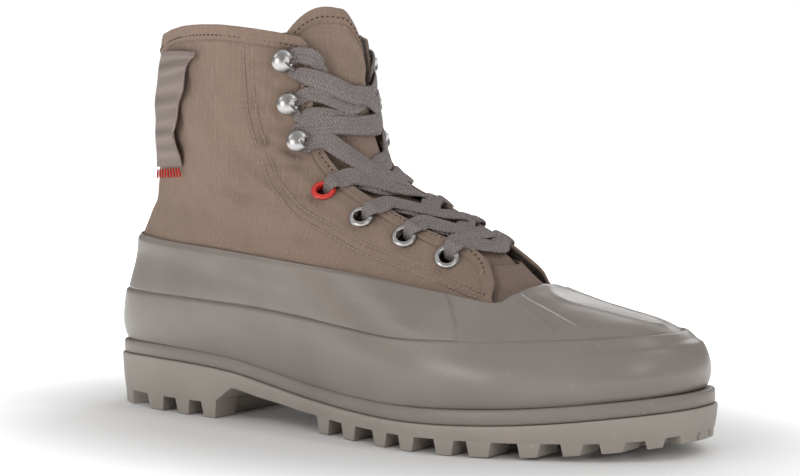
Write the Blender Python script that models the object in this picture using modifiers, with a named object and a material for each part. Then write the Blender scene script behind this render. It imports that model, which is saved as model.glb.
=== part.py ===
"""A right high-top winter boot: a canvas upper in a rubber shell on a lugged sole, laced over eyelets and hooks.

Metres, +Z up, toe towards +X, the outer (lateral) side towards -Y. The upper, the shell, the tongue and the
tab are all read from one surface, the last, which is a stack of closed sections from the sole to the collar.
A place on it is two shares: around (0 front centre, 0.5 back centre, 1 front again, by length round the
section, the lateral side first) and rise (0 where the upper meets the sole, 1 at the collar).
"""

import math

import bmesh
import bpy
import numpy as np
from mathutils import Matrix, Vector

MM = 0.001

# Overall sizes
SOLE_LENGTH = 300 * MM
BALL_WIDTH = 107 * MM
HEEL_SEAT = 29 * MM
COLLAR_RISE = 140 * MM

# Walls and gaps
CLEARANCE = 0.3 * MM
CANVAS_WALL = 1.8 * MM
SHELL_WALL = 1.4 * MM
BAND_WALL = 3.0 * MM
TONGUE_WALL = 1.6 * MM
INSOLE_HEIGHT = 3.0 * MM
BEAD_HEIGHT = 6.1 * MM
PANEL_STEP = 0.5 * MM

# Canvas steps
FOLD_HEIGHT = 0.6 * MM
FACING_WIDTH = 4.5 * MM
BINDING_WIDTH = 6.5 * MM
VAMP_DROP = 1.0 * MM

# Edges of the sole: how far the side wall draws in at its foot, middle and top, and the height of its edge
WALL_FOOT = 1.0 * MM
WALL_MIDDLE = 0.3 * MM
WALL_TOP = 0.6 * MM
WALL_EDGE = 1.4 * MM

# Tread
HEEL_BREAST = 0.262
TOE_SPRING = 6.6 * MM
SPRING_START = 0.72
LUG_DEPTH = 15.0 * MM
LUG_REACH = 0.42
LUG_TAPER = 1.6 * MM
LUG_ROOT = 1.5 * MM
SIDE_DRAFT = 1.6 * MM
ROOT_DRAFT = 1.3 * MM
LUG_SPINE = (0.08, 0.93)

# Hardware
EYELET_RADIUS = 5.2 * MM
EYELET_HOLE = 2.9 * MM
EYELET_WALL = 0.45 * MM
EYELET_RISE = 1.8 * MM
EYELET_CROWN = 1.1 * MM
EYELET_EDGE = 0.4 * MM
SEAT_GAP = 0.6 * MM
HOOK_BASE = 4.1 * MM
HOOK_STEM = 2.2 * MM
HOOK_HEAD = 4.3 * MM
HOOK_RISE = 6.0 * MM
HOOK_NECK = 4.0 * MM
HOOK_LIP = 0.9 * MM
HOOK_FOOT = 0.6 * MM
TURN_STEPS = 10

# Lace and tab
LACE_WIDTH = 8.0 * MM
LACE_WALL = 1.2 * MM
LACE_OVER = EYELET_RISE + 2 * CLEARANCE + LACE_WALL / 2
LACE_UNDER = -0.9 * MM
LACE_LOWEST = 0.7 * MM
LACE_OVER_TONGUE = 1.7 * MM
LACE_EDGE_GAP = 4.2 * MM
LACE_STACK = 0.8 * MM
LACE_STAGGER = 1.8 * MM
BAR_STACK = 0.4 * MM
LACE_END_GAP = 1.0 * MM
LACE_LANDING = {"eyelet": 0.72, "hook": 0.3}
LACE_STEPS = 8
TAB_WALL = 1.2 * MM

# The last's sections. Lengths are shares of the sole's length, rises of the collar's, widths of the ball's.
SECTION_COLUMNS = ("rise", "back", "back_rise", "front", "front_rise", "sole_shape", "crown",
                   "heel", "waist", "ball", "toe", "back_round", "front_round", "lean")
SECTIONS = (
    (0.000, 0.017, 0.000, 0.970, 0.000, 1.00, 0.000, 0.322, 0.271, 0.449, 0.435, 3.0, 2.40, 0.065),
    (0.083, 0.013, 0.061, 0.978, 0.057, 0.95, 0.000, 0.339, 0.308, 0.469, 0.449, 3.0, 2.35, 0.065),
    (0.167, 0.017, 0.132, 0.966, 0.121, 0.85, 0.000, 0.341, 0.332, 0.467, 0.430, 3.0, 2.30, 0.065),
    (0.250, 0.027, 0.203, 0.932, 0.180, 0.70, 0.000, 0.336, 0.341, 0.439, 0.402, 3.0, 2.25, 0.056),
    (0.333, 0.037, 0.280, 0.877, 0.222, 0.55, 0.000, 0.327, 0.341, 0.411, 0.374, 2.9, 2.20, 0.047),
    (0.417, 0.043, 0.351, 0.810, 0.268, 0.40, 0.000, 0.318, 0.336, 0.383, 0.346, 2.9, 2.20, 0.037),
    (0.500, 0.058, 0.422, 0.757, 0.317, 0.20, 0.000, 0.308, 0.336, 0.360, 0.327, 2.8, 2.15, 0.019),
    (0.583, 0.072, 0.499, 0.690, 0.436, 0.10, 0.000, 0.299, 0.336, 0.346, 0.318, 2.7, 2.10, 0.009),
    (0.667, 0.078, 0.585, 0.610, 0.518, 0.00, 0.000, 0.299, 0.341, 0.336, 0.299, 2.6, 2.10, 0.000),
    (0.750, 0.082, 0.677, 0.520, 0.601, 0.00, 0.000, 0.299, 0.346, 0.332, 0.290, 2.5, 2.10, 0.000),
    (0.833, 0.084, 0.784, 0.478, 0.710, 0.00, 0.007, 0.304, 0.350, 0.336, 0.290, 2.5, 2.10, 0.000),
    (0.917, 0.090, 0.884, 0.460, 0.853, 0.00, 0.029, 0.308, 0.355, 0.341, 0.290, 2.4, 2.10, 0.000),
    (1.000, 0.097, 0.970, 0.450, 1.011, 0.00, 0.064, 0.313, 0.360, 0.346, 0.290, 2.4, 2.10, 0.000),
)
WIDTH_STATIONS = (0, 0.14, 0.42, 0.70, 0.90, 1)

# The sole along its length: top of the outsole, and the root of its lugs, as shares of the heel seat's height.
SOLE_COLUMNS = ("along", "top")
SOLE_TOP = ((0, 0.793), (0.12, 0.824), (0.28, 0.755), (0.45, 0.483), (0.62, 0.400), (0.80, 0.445), (1, 0.666))
ROOT_COLUMNS = ("along", "root")
SOLE_ROOT = ((0, 0.225), (HEEL_BREAST, 0.235), (0.300, 0.500), (0.35, 0.405), (0.44, 0.280), (0.52, 0.222),
             (0.64, 0.207), (0.80, 0.217), (0.90, 0.240), (0.95, 0.272), (1, 0.345))

# The sole's outline: half width and the side to which its centre sways, as shares of the ball's width.
OUTLINE_COLUMNS = ("along", "half", "sway")
OUTLINE = ((0, 0.368, 0), (0.13, 0.368, 0), (0.42, 0.319, -0.035), (0.70, 0.501, -0.009),
           (0.88, 0.492, 0.035), (1, 0.472, 0.069))
HEEL_ROUND = 3.1
TOE_ROUND = 2.35
# Stations between the toe's and the heel's round ends
SOLE_STATIONS = (0.82, 0.79, 0.74, 0.69, 0.64, 0.58, 0.52, 0.47, 0.44, 0.40, 0.35, 0.30, HEEL_BREAST,
                 0.22, 0.18)
# The bead between sole and shell, from its foot up: how far it draws in, and the share of its height
BEAD_COLUMNS = ("inset", "share")
BEAD = ((3.0, 0.0), (1.7, 0.12), (1.0, 0.36), (1.0, 0.64), (1.7, 0.88), (3.0, 1.0))

# Lines on the last, around and rise. The medial side mirrors the lateral one.
SHELL_TOP_COLUMNS = ("around", "rise")
SHELL_TOP = ((0, 0.497), (0.022, 0.483), (0.045, 0.445), (0.078, 0.392), (0.103, 0.425), (0.133, 0.453),
             (0.170, 0.472), (0.215, 0.474), (0.268, 0.463), (0.327, 0.443), (0.388, 0.427), (0.5, 0.422))
BAND_COLUMNS = ("around", "rise")
BAND_TOP = ((0, 0.205), (0.05, 0.212), (0.125, 0.217), (0.185, 0.222), (0.225, 0.240), (0.265, 0.248),
            (0.300, 0.240), (0.347, 0.217), (0.395, 0.207), (0.5, 0.207))
THROAT_COLUMNS = ("rise", "around")
THROAT = ((0, 0.078), (0.392, 0.076), (0.45, 0.060), (0.52, 0.038), (0.553, 0.031), (0.575, 0.035),
          (0.60, 0.053), (0.64, 0.063), (0.70, 0.071), (0.773, 0.074), (0.80, 0.079), (0.897, 0.086), (1, 0.069))
THROAT_BASE = 0.535
SEAM_COLUMNS = ("rise", "around")
SEAM = ((0, 0.140), (0.22, 0.137), (0.327, 0.123), (0.43, 0.104), (0.535, 0.098), (0.60, 0.098), (0.70, 0.108),
        (0.80, 0.120), (0.897, 0.128), (1, 0.112))

# Hardware from the toe up: around, rise and kind.
HARDWARE_COLUMNS = ("around", "rise", "kind")
HARDWARE = ((0.067, 0.550, "eyelet"), (0.093, 0.587, "eyelet"), (0.118, 0.633, "eyelet"),
            (0.125, 0.707, "eyelet"), (0.115, 0.823, "hook"), (0.120, 0.890, "hook"), (0.123, 0.957, "hook"))
RED_ROW = 3

# Edge lugs of one side by length from the heel's back to the toe's tip, as shares of half the outline.
LUG_COLUMNS = ("start", "end")
LUGS = ((0.035, 0.100), (0.150, 0.180), (0.212, 0.232), (0.261, 0.281), (0.468, 0.486), (0.518, 0.539),
        (0.579, 0.597), (0.623, 0.640), (0.674, 0.693), (0.715, 0.738), (0.775, 0.795), (0.824, 0.843),
        (0.867, 0.890), (0.918, 0.936), (0.960, 0.982))
TOE_LUG_START = 0.988
CENTRE_LUG_COLUMNS = ("along", "half_width")
CENTRE_LUGS = ((0.06, 0.05), (0.15, 0.09), (0.242, 0.20), (0.52, 0.13), (0.60, 0.16), (0.68, 0.18),
               (0.76, 0.18), (0.84, 0.16), (0.92, 0.10))
CENTRE_LUG_LENGTH = 8 * MM

# The tongue by rise: half width, and how far its middle stands out from the last.
TONGUE_COLUMNS = ("rise", "half_width", "lift")
TONGUE = ((0.440, 0.20, -3.9), (0.500, 0.21, -3.9), (0.545, 0.22, -3.6), (0.590, 0.24, -2.9),
          (0.640, 0.26, -2.6), (0.690, 0.28, -2.6), (0.740, 0.29, -2.5), (0.790, 0.30, -1.9),
          (0.840, 0.31, -1.4), (0.890, 0.32, -1.1), (0.940, 0.33, -0.2), (0.990, 0.34, 1.0),
          (1.030, 0.34, 0.6), (1.050, 0.33, -0.2), (1.060, 0.32, -0.8))
TONGUE_EDGE_LIFT = -3.4 * MM
TONGUE_MIDDLE = 17 * MM
TONGUE_DROP = 0.052
TONGUE_DROP_START = 0.92
TONGUE_CORNER = 2.2
TONGUE_SET_BACK = 3.6 * MM
TONGUE_LEAN = 12 * MM

# The pull tab from its foot up: its front and back edges around and by rise, and how far it stands out.
TAB_COLUMNS = ("front", "front_rise", "back", "back_rise", "lift")
TAB = ((0.357, 0.697, 0.436, 0.665, 1.7), (0.345, 0.747, 0.425, 0.715, 2.2), (0.336, 0.790, 0.412, 0.765, 3.0),
       (0.318, 0.833, 0.404, 0.805, 2.6), (0.300, 0.870, 0.396, 0.845, 3.2), (0.292, 0.905, 0.390, 0.890, 2.8),
       (0.276, 0.928, 0.384, 0.920, 2.6), (0.268, 0.944, 0.380, 0.944, 1.7))

# Columns of the upper and the shell: the vamp, the quarter's folded edge, the panel seam and the rest.
VAMP_SHARES = (0, 0.24, 0.48, 0.74, 1)
REST_SHARES = (0.07, 0.15, 0.24, 0.34, 0.44, 0.54, 0.64, 0.74, 0.83, 0.91, 1)
FOLD_RUN = 1.0 * MM
VAMP_COLUMNS = len(VAMP_SHARES)
SEAM_COLUMN = VAMP_COLUMNS + 3

# Rows of the shell and the upper: shares of the band and of the panel over it with their walls, then the shaft
SHELL_START = 0.04
BAND_SHARES = (0, 0.30, 0.60, 0.80, 0.97)
BAND_WALLS = (0.72, 1.0, 1.05, 1.0, 0.97)
EDGE_SHARES = (0.05, 0.35, 0.72, 1.0)
EDGE_WALLS = (1.3, 1.1, 1.0, 0.8)
VAMP_ROWS = (0.3, 0.65, 1.0)
SHAFT_ROWS = (0.565, 0.60, 0.64, 0.69, 0.74, 0.79, 0.84, 0.89, 0.93)
SHELL_ROWS = len(BAND_SHARES) + len(EDGE_SHARES)
BASE_ROW = SHELL_ROWS + len(VAMP_ROWS) - 1

COLOURS = {
    "upper": (0.290, 0.209, 0.161), "rubber_shell": (0.250, 0.216, 0.191), "midsole": (0.246, 0.216, 0.188),
    "outsole": (0.246, 0.213, 0.184), "insole": (0.180, 0.150, 0.125), "tongue": (0.280, 0.202, 0.156),
    "laces": (0.212, 0.181, 0.175), "steel": (0.72, 0.72, 0.72), "red": (0.72, 0.05, 0.03),
    "pull_tab": (0.305, 0.246, 0.216),
}


def curve(knots, values, at):
    """A cubic through values at knots, with the slope at each knot taken from its neighbours."""
    knots = np.asarray(knots, float)
    values = np.asarray(values, float).reshape(len(knots), -1)
    step = np.diff(knots)[:, None]
    rise = np.diff(values, axis=0) / step
    inner = (rise[:-1] * step[1:] + rise[1:] * step[:-1]) / (step[1:] + step[:-1])
    slope = np.concatenate([rise[:1], inner, rise[-1:]])
    at = np.asarray(at, float)
    i = np.clip(np.searchsorted(knots, at, side="right") - 1, 0, len(step) - 1)
    h = step[i]
    s = (at - knots[i])[..., None] / h
    found = ((1 + 2 * s) * (1 - s) ** 2 * values[i] + s * (1 - s) ** 2 * h * slope[i]
             + s * s * (3 - 2 * s) * values[i + 1] + s * s * (s - 1) * h * slope[i + 1])
    return found[..., 0] if values.shape[1] == 1 else found


def table_curve(table, at, column=1):
    """One column of a table, as a smooth function of its first column."""
    return curve([row[0] for row in table], [row[column] for row in table], at)


def mirrored(around):
    """The share around that the lateral side's tables use for a place on either side."""
    around = np.asarray(around) % 1.0
    return np.minimum(around, 1 - around)


def smoothstep(low, high, at):
    s = np.clip((np.asarray(at) - low) / (high - low), 0, 1)
    return s * s * (3 - 2 * s)


def sole_top(along):
    return table_curve(SOLE_TOP, along) * HEEL_SEAT


def feather(along):
    """Height at which the upper meets the sole."""
    return sole_top(along) + BEAD_HEIGHT + 1.5 * CLEARANCE


def section(rise, count=181):
    """One closed section of the last as points, from the front centre round the lateral side."""
    row = dict(zip(SECTION_COLUMNS, curve([r[0] for r in SECTIONS], SECTIONS, rise)))
    turn = np.linspace(0, 2 * math.pi, count)
    ahead = np.cos(turn)
    aside = -np.sin(turn)
    power = np.where(ahead > 0, row["front_round"], row["back_round"])
    along = 0.5 + 0.5 * np.sign(ahead) * np.abs(ahead) ** (2 / power)
    side = np.abs(aside) ** (2 / power) * np.sign(aside)
    half = curve(WIDTH_STATIONS, (row["heel"] * 0.98, row["heel"], row["waist"], row["ball"], row["toe"],
                                  row["toe"] * 0.97), along)
    low = max(0.0, 1 - 1.3 * rise)
    sway = np.where(along < 0.7, table_curve(OUTLINE, along, 2) * low,
                    (along - 0.7) / 0.3 * row["lean"] - 0.009 * low)
    x = (row["back"] + along * (row["front"] - row["back"])) * SOLE_LENGTH
    ends = feather(np.array([row["back"], row["front"]]))
    straight = ends[0] + (ends[1] - ends[0]) * along
    bulge = row["crown"] * 4 * along * (1 - along)
    lift = row["back_rise"] + (row["front_rise"] - row["back_rise"]) * along + bulge
    z = straight + row["sole_shape"] * (feather(x / SOLE_LENGTH) - straight) + lift * COLLAR_RISE
    return np.stack([x, (sway + side * half) * BALL_WIDTH, z], -1)


AROUND = np.linspace(0, 1, 193)
RISES = np.linspace(0, 1, 121)
COLLAR_STEP = 0.05


def even_section(rise):
    """A section read at even shares of its length, each side for itself, and its half length."""
    loop = section(rise)
    length = np.concatenate([[0], np.cumsum(np.linalg.norm(np.diff(loop, axis=0), axis=1))])
    back = len(loop) // 2
    share = np.concatenate([0.5 * length[:back] / length[back],
                            0.5 + 0.5 * (length[back:] - length[back]) / (length[-1] - length[back])])
    return np.stack([np.interp(AROUND, share, loop[:, k]) for k in range(3)], -1), length[-1] / 2


EVEN = [even_section(rise) for rise in RISES]
LAST_POINTS = np.stack([points for points, _ in EVEN])
HALF_LENGTHS = np.array([half for _, half in EVEN])
WRAPPED = np.concatenate([LAST_POINTS[:, -2:-1], LAST_POINTS, LAST_POINTS[:, 1:2]], axis=1)
LAST_NORMALS = np.cross(np.gradient(LAST_POINTS, axis=0), np.gradient(WRAPPED, axis=1)[:, 1:-1])
LAST_NORMALS /= np.linalg.norm(LAST_NORMALS, axis=-1, keepdims=True)


def on_grid(table, around, rise):
    """A table over AROUND and RISES, read between its points."""
    a = (np.asarray(around) % 1.0) * (len(AROUND) - 1)
    b = np.clip(rise, 0, 1) * (len(RISES) - 1)
    i = np.minimum(a.astype(int), len(AROUND) - 2)
    j = np.minimum(b.astype(int), len(RISES) - 2)
    f = (a - i)[..., None]
    g = (b - j)[..., None]
    return ((table[j, i] * (1 - f) + table[j, i + 1] * f) * (1 - g)
            + (table[j + 1, i] * (1 - f) + table[j + 1, i + 1] * f) * g)


def normal_at(around, rise):
    found = on_grid(LAST_NORMALS, *np.broadcast_arrays(around, rise))
    return found / np.linalg.norm(found, axis=-1, keepdims=True)


def skin(around, rise, out=0.0):
    """Points at shares around and rise, moved out of the last. Above the collar it goes straight on."""
    around, rise, out = np.broadcast_arrays(around, rise, out)
    point = on_grid(LAST_POINTS, around, rise)
    above = np.clip(rise - 1, 0, None)[..., None]
    collar = on_grid(LAST_POINTS, around, np.ones(rise.shape))
    below = on_grid(LAST_POINTS, around, np.full(rise.shape, 1 - COLLAR_STEP))
    upward = (collar - below) / COLLAR_STEP
    return point + above * upward + normal_at(around, rise) * out[..., None]


def arc_share(length, rise):
    """The share around that a length along the section is."""
    return length / (2 * np.interp(rise, RISES, HALF_LENGTHS))


def rise_share(length):
    """The share of rise that a length up the shaft is."""
    return length / COLLAR_RISE


def new_material(name, metallic=0.0, roughness=0.6):
    material = bpy.data.materials.new(name)
    material.use_nodes = True
    shader = material.node_tree.nodes["Principled BSDF"]
    shader.inputs["Base Color"].default_value = (*COLOURS[name], 1)
    shader.inputs["Metallic"].default_value = metallic
    shader.inputs["Roughness"].default_value = roughness
    return material


def mesh_object(name, points, faces, collection, material=None):
    mesh = bpy.data.meshes.new(name)
    mesh.from_pydata([tuple(p) for p in np.reshape(points, (-1, 3))], [], faces)
    mesh.update()
    obj = bpy.data.objects.new(name, mesh)
    collection.objects.link(obj)
    if material:
        mesh.materials.append(material)
    mesh.shade_smooth()
    mesh.set_sharp_from_angle(angle=math.radians(35))
    return obj


def grid_faces(rows, columns, closed, keep=None):
    """Quads over a grid of points, facing out of the last."""
    faces = []
    for i in range(rows - 1):
        for j in range(columns if closed else columns - 1):
            k = (j + 1) % columns
            if keep is None or keep[i, j]:
                faces.append((i * columns + j, (i + 1) * columns + j, (i + 1) * columns + k, i * columns + k))
    return faces


def drop_loose(obj):
    """Takes away points that no face uses."""
    work = bmesh.new()
    work.from_mesh(obj.data)
    loose = [v for v in work.verts if not v.link_faces]
    bmesh.ops.delete(work, geom=loose, context="VERTS")
    work.to_mesh(obj.data)
    work.free()


def thicken(obj, wall, shares=None):
    """Gives an open surface its wall, inwards. shares, one for each point, makes it thinner in places."""
    solidify = obj.modifiers.new("wall", "SOLIDIFY")
    solidify.thickness = wall
    solidify.offset = -1
    solidify.use_rim = True
    if shares is not None:
        group = obj.vertex_groups.new(name="wall")
        for index, share in enumerate(np.ravel(shares)):
            group.add([index], float(share), "REPLACE")
        solidify.vertex_group = "wall"
    return solidify


def outline(grow=0.0):
    """The sole's outline from the toe's tip round the lateral side: x and y, moved out by grow."""
    ends = 0.5 - 0.5 * np.cos(np.linspace(0, 0.22 * math.pi, 8))
    along = np.concatenate([1 - ends, SOLE_STATIONS, ends[::-1]])
    power = np.where(along > 0.5, TOE_ROUND, HEEL_ROUND)
    share = np.clip(1 - np.abs(2 * along - 1) ** power, 0, 1) ** (1 / power)
    half = share * (table_curve(OUTLINE, along, 1) * BALL_WIDTH + grow)
    sway = table_curve(OUTLINE, along, 2) * BALL_WIDTH
    x = SOLE_LENGTH / 2 + (along - 0.5) * (SOLE_LENGTH + 2 * grow)
    lateral = np.stack([x, sway - half], -1)
    medial = np.stack([x, sway + half], -1)
    return np.concatenate([lateral, medial[-2:0:-1]])


def level(plan, height):
    """A closed loop at the heights that a function of the share along gives."""
    return np.column_stack([plan[:, :2], height(plan[:, 0] / SOLE_LENGTH)])


def slab(name, levels, collection, material=None):
    """A solid through closed loops, bottom to top, with caps ruled from side to side."""
    count = len(levels[0])
    faces = grid_faces(len(levels), count, True)
    top = (len(levels) - 1) * count
    for k in range(count // 2):
        loop = list(dict.fromkeys((k, (count - k) % count, (count - k - 1) % count, k + 1)))
        faces.append(tuple(top + i for i in loop))
        faces.append(tuple(reversed(loop)))
    return mesh_object(name, np.concatenate(levels), faces, collection, material)


def inset(loop, distance):
    """A loop moved inwards in plan."""
    ahead = (np.roll(loop, -1, axis=0) - np.roll(loop, 1, axis=0))[:, :2]
    ahead /= np.linalg.norm(ahead, axis=1, keepdims=True)
    moved = loop.copy()
    moved[:, 0] += distance * ahead[:, 1]
    moved[:, 1] -= distance * ahead[:, 0]
    return moved


def tread(along):
    """Height of the lugs' ends: flat to the ball, then up to the toe."""
    return TOE_SPRING * np.clip((np.asarray(along) - SPRING_START) / (1 - SPRING_START), 0, 1) ** 2


def root(along):
    """Height of the outsole's underside between its lugs."""
    return np.interp(along, [row[0] for row in SOLE_ROOT], [row[1] for row in SOLE_ROOT]) * HEEL_SEAT


def centre_at(x):
    """Side shift of the sole's middle at x."""
    return table_curve(OUTLINE, np.clip(x / SOLE_LENGTH, 0, 1), 2) * BALL_WIDTH


def lug_rings(outer_of):
    """The lower and upper ring of a lug. outer_of gives its outer edge for an inset and a widening."""
    rings = []
    for grow, widen, deep in ((-SIDE_DRAFT, 0.0, LUG_DEPTH - LUG_TAPER), (-ROOT_DRAFT, LUG_TAPER, LUG_DEPTH)):
        outer = outer_of(grow, widen)
        middle = np.clip(outer[1, 0], LUG_SPINE[0] * SOLE_LENGTH, LUG_SPINE[1] * SOLE_LENGTH)
        spine = np.array([middle, centre_at(middle)])
        inward = spine - outer[1]
        distance = np.linalg.norm(inward)
        inner = outer[[2, 0]] + inward / distance * min(deep, LUG_REACH * distance)
        ring = np.concatenate([outer, inner])
        along = np.clip(ring[:, 0] / SOLE_LENGTH, 0, 1)
        rings.append(np.column_stack([ring, tread(along) if widen == 0 else root(along) + LUG_ROOT]))
    return rings


def side_edge(start, end, side):
    """The outer edge of an edge lug between two shares of the outline's half."""
    def outer_of(grow, widen):
        plan = outline(grow)
        half = plan[:len(plan) // 2 + 1][::-1]
        length = np.concatenate([[0], np.cumsum(np.linalg.norm(np.diff(half, axis=0), axis=1))])
        places = np.array([start, (start + end) / 2, end]) * length[-1] + np.array([-widen, 0, widen])
        outer = np.stack([np.interp(places, length, half[:, k]) for k in (0, 1)], -1)
        if side > 0:
            outer[:, 1] = 2 * centre_at(outer[:, 0]) - outer[:, 1]
            outer = outer[::-1]
        return outer
    return outer_of


def toe_edge(grow, widen):
    """The outer edge of the lug round the toe's tip."""
    start = side_edge(TOE_LUG_START, 1, -1)(grow, widen)[0]
    tip = outline(grow)[0]
    return np.array([start, tip, (start[0], 2 * centre_at(start[0]) - start[1])])


def prism_faces(first, count):
    """Faces of a prism whose lower ring starts at first and whose upper ring follows it."""
    low = list(range(first, first + count))
    high = [i + count for i in low]
    sides = [(low[i], low[(i + 1) % count], high[(i + 1) % count], high[i]) for i in range(count)]
    return [tuple(reversed(low)), tuple(high)] + sides


def make_outsole(parts, cutters):
    heights = ((-WALL_FOOT, root), (-WALL_MIDDLE, lambda along: (root(along) + sole_top(along)) / 2),
               (0, lambda along: sole_top(along) - WALL_EDGE), (-WALL_TOP, sole_top))
    body = slab("outsole", [level(outline(grow), height) for grow, height in heights], parts,
                new_material("outsole"))
    pairs = [lug_rings(side_edge(start, end, side)) for start, end in LUGS for side in (-1, 1)]
    pairs.append(lug_rings(toe_edge))
    for along, half_width in CENTRE_LUGS:
        pair = []
        for widen in (0.0, LUG_TAPER):
            x = along * SOLE_LENGTH + (CENTRE_LUG_LENGTH / 2 + widen) * np.array([-1, 1, 1, -1])
            y = centre_at(along * SOLE_LENGTH) + (half_width * BALL_WIDTH + widen) * np.array([-1, -1, 1, 1])
            shares = x / SOLE_LENGTH
            pair.append(np.column_stack([x, y, tread(shares) if widen == 0 else root(shares) + LUG_ROOT]))
        pairs.append(pair)
    points, faces = [], []
    for low, high in pairs:
        faces += prism_faces(len(points), len(low))
        points += [*low, *high]
    lugs = mesh_object("lug_blocks", points, faces, cutters)
    combine(body, lugs, "UNION")


def combine(obj, other, operation):
    """A Boolean of obj with other, which stays as a cutter."""
    boolean = obj.modifiers.new(operation.lower(), "BOOLEAN")
    boolean.operation = operation
    boolean.solver = "EXACT"
    boolean.use_self = operation == "UNION"
    boolean.object = other
    other.hide_render = True
    other.display_type = "WIRE"


def make_midsole(parts):
    levels = []
    for drawn_in, share in BEAD:
        low = CLEARANCE + share * (BEAD_HEIGHT - CLEARANCE)
        levels.append(level(outline(-drawn_in * MM), lambda along, low=low: sole_top(along) + low))
    slab("midsole", levels, parts, new_material("midsole"))


def make_insole(parts):
    foot = inset(skin(columns_at(0), 0), CANVAS_WALL + 3 * CLEARANCE)
    low = level(foot, feather)
    high = level(inset(foot, CLEARANCE), lambda along: feather(along) + INSOLE_HEIGHT)
    slab("insole", [low, high], parts, new_material("insole", roughness=0.9))


def gap_at(rise):
    """Share around of the throat's edge, which goes on down as the quarter's front edge."""
    return table_curve(THROAT, rise)


def shell_top(around):
    return table_curve(SHELL_TOP, mirrored(around))


def band_top(around):
    return table_curve(BAND_TOP, mirrored(around))


def binding_foot(around):
    """Rise of the collar binding's lower edge."""
    speed = np.linalg.norm(skin(around, 1.0) - skin(around, 1 - COLLAR_STEP), axis=-1) / COLLAR_STEP
    return 1 - BINDING_WIDTH / speed


def columns_at(rise):
    """Shares around of all columns at this rise, once round."""
    gap = float(gap_at(rise))
    seam = float(table_curve(SEAM, rise))
    folds = [gap + float(arc_share(run, rise)) for run in (FOLD_RUN, FACING_WIDTH, FACING_WIDTH + FOLD_RUN)]
    after = seam + float(arc_share(FOLD_RUN, rise))
    half = ([gap * share for share in VAMP_SHARES] + folds + [seam, after]
            + [after + (0.5 - after) * share for share in REST_SHARES])
    return np.array(half + [1 - around for around in half[-2:0:-1]])


def covered_rows(first=0.0):
    """Around and rise of the grid of the shell and of the upper under it. first is its lowest band share."""
    middle = float(np.mean([row[1] for row in BAND_TOP]))
    edge = float(np.mean([row[1] for row in SHELL_TOP]))
    rows = []
    for share in (first, *BAND_SHARES[1:]):
        around = columns_at(share * middle)
        rows.append((around, share * band_top(around)))
    for share in EDGE_SHARES:
        around = columns_at(middle + share * (edge - middle))
        rows.append((around, band_top(around) + share * (shell_top(around) - band_top(around))))
    return rows


def make_shell(parts):
    rows = covered_rows(SHELL_START)
    around = np.array([row[0] for row in rows])
    rise = np.array([row[1] for row in rows])
    wall = np.array([BAND_WALL * w for w in BAND_WALLS] + [SHELL_WALL * w for w in EDGE_WALLS])[:, None]
    wall = np.repeat(wall, around.shape[1], axis=1)
    half = around.shape[1] // 2
    behind = np.arange(around.shape[1])
    behind = (np.minimum(behind, 2 * half - behind) > SEAM_COLUMN)
    wall[len(BAND_SHARES):-1, behind] += PANEL_STEP
    points = skin(around, rise, 1.5 * CLEARANCE + wall)
    shell = mesh_object("rubber_shell", points, grid_faces(*around.shape, True), parts,
                        new_material("rubber_shell", roughness=0.42))
    thicken(shell, float(wall.max()), wall / wall.max())


def make_upper(parts, cutters):
    rows = covered_rows()
    edge = rows[-1][1]
    for share in VAMP_ROWS:
        rise = edge + share * (THROAT_BASE - edge)
        rows.append((columns_at(float(np.mean(rise))), rise))
    rows += [(columns_at(rise), np.full(len(edge), rise)) for rise in SHAFT_ROWS]
    foot = binding_foot(columns_at(0.95))
    rows += [(columns_at(0.95), foot - rise_share(FOLD_HEIGHT)), (columns_at(0.96), foot)]
    rows += [(columns_at(1.0), np.ones(len(edge)))]
    around = np.array([row[0] for row in rows])
    rise = np.array([row[1] for row in rows])
    count = around.shape[1]
    column = np.arange(count)
    column = np.minimum(column, count - column)
    out = np.zeros_like(rise)
    above = np.arange(len(rise)) >= SHELL_ROWS
    facing = (column >= VAMP_COLUMNS) & (column <= VAMP_COLUMNS + 1)
    out[np.ix_(above, facing)] = FOLD_HEIGHT
    vamp = (np.arange(len(rise)) > SHELL_ROWS) & (np.arange(len(rise)) <= BASE_ROW)
    out[np.ix_(vamp, column < VAMP_COLUMNS)] = -VAMP_DROP
    out[np.ix_(np.arange(len(rise)) > BASE_ROW, column < VAMP_COLUMNS)] = FOLD_HEIGHT
    out[-2:] = FOLD_HEIGHT
    open_throat = (np.arange(len(rise))[:, None] >= BASE_ROW) & (np.minimum(column, np.roll(column, -1))
                                                                 < VAMP_COLUMNS - 1)[None]
    faces = grid_faces(len(rise), count, True, ~open_throat)
    upper = mesh_object("upper", skin(around, rise, out), faces, parts, new_material("upper", roughness=0.9))
    drop_loose(upper)
    thicken(upper, CANVAS_WALL)
    work = bmesh.new()
    for around_at, rise_at, kind in HARDWARE:
        for side in (1, -1):
            if kind == "eyelet":
                bmesh.ops.create_cone(work, cap_ends=True, segments=TURN_STEPS, depth=5 * CANVAS_WALL,
                                      radius1=EYELET_HOLE + EYELET_WALL + CLEARANCE,
                                      radius2=EYELET_HOLE + EYELET_WALL + CLEARANCE,
                                      matrix=seat(side * around_at, rise_at, -CANVAS_WALL / 2))
    mesh = bpy.data.meshes.new("eyelet_holes")
    work.to_mesh(mesh)
    work.free()
    holes = bpy.data.objects.new("eyelet_holes", mesh)
    cutters.objects.link(holes)
    combine(upper, holes, "DIFFERENCE")


def seat(around, rise, out=0.0):
    """The frame of a place on the last: its Z stands out of the surface, its X points along the section."""
    upward = Vector(normal_at(around, rise))
    ahead = Vector(skin(around - 0.005, rise) - skin(around + 0.005, rise))
    aside = upward.cross(ahead).normalized()
    ahead = aside.cross(upward)
    matrix = Matrix((ahead, aside, upward)).transposed().to_4x4()
    matrix.translation = Vector(skin(around, rise, out))
    return matrix


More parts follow.
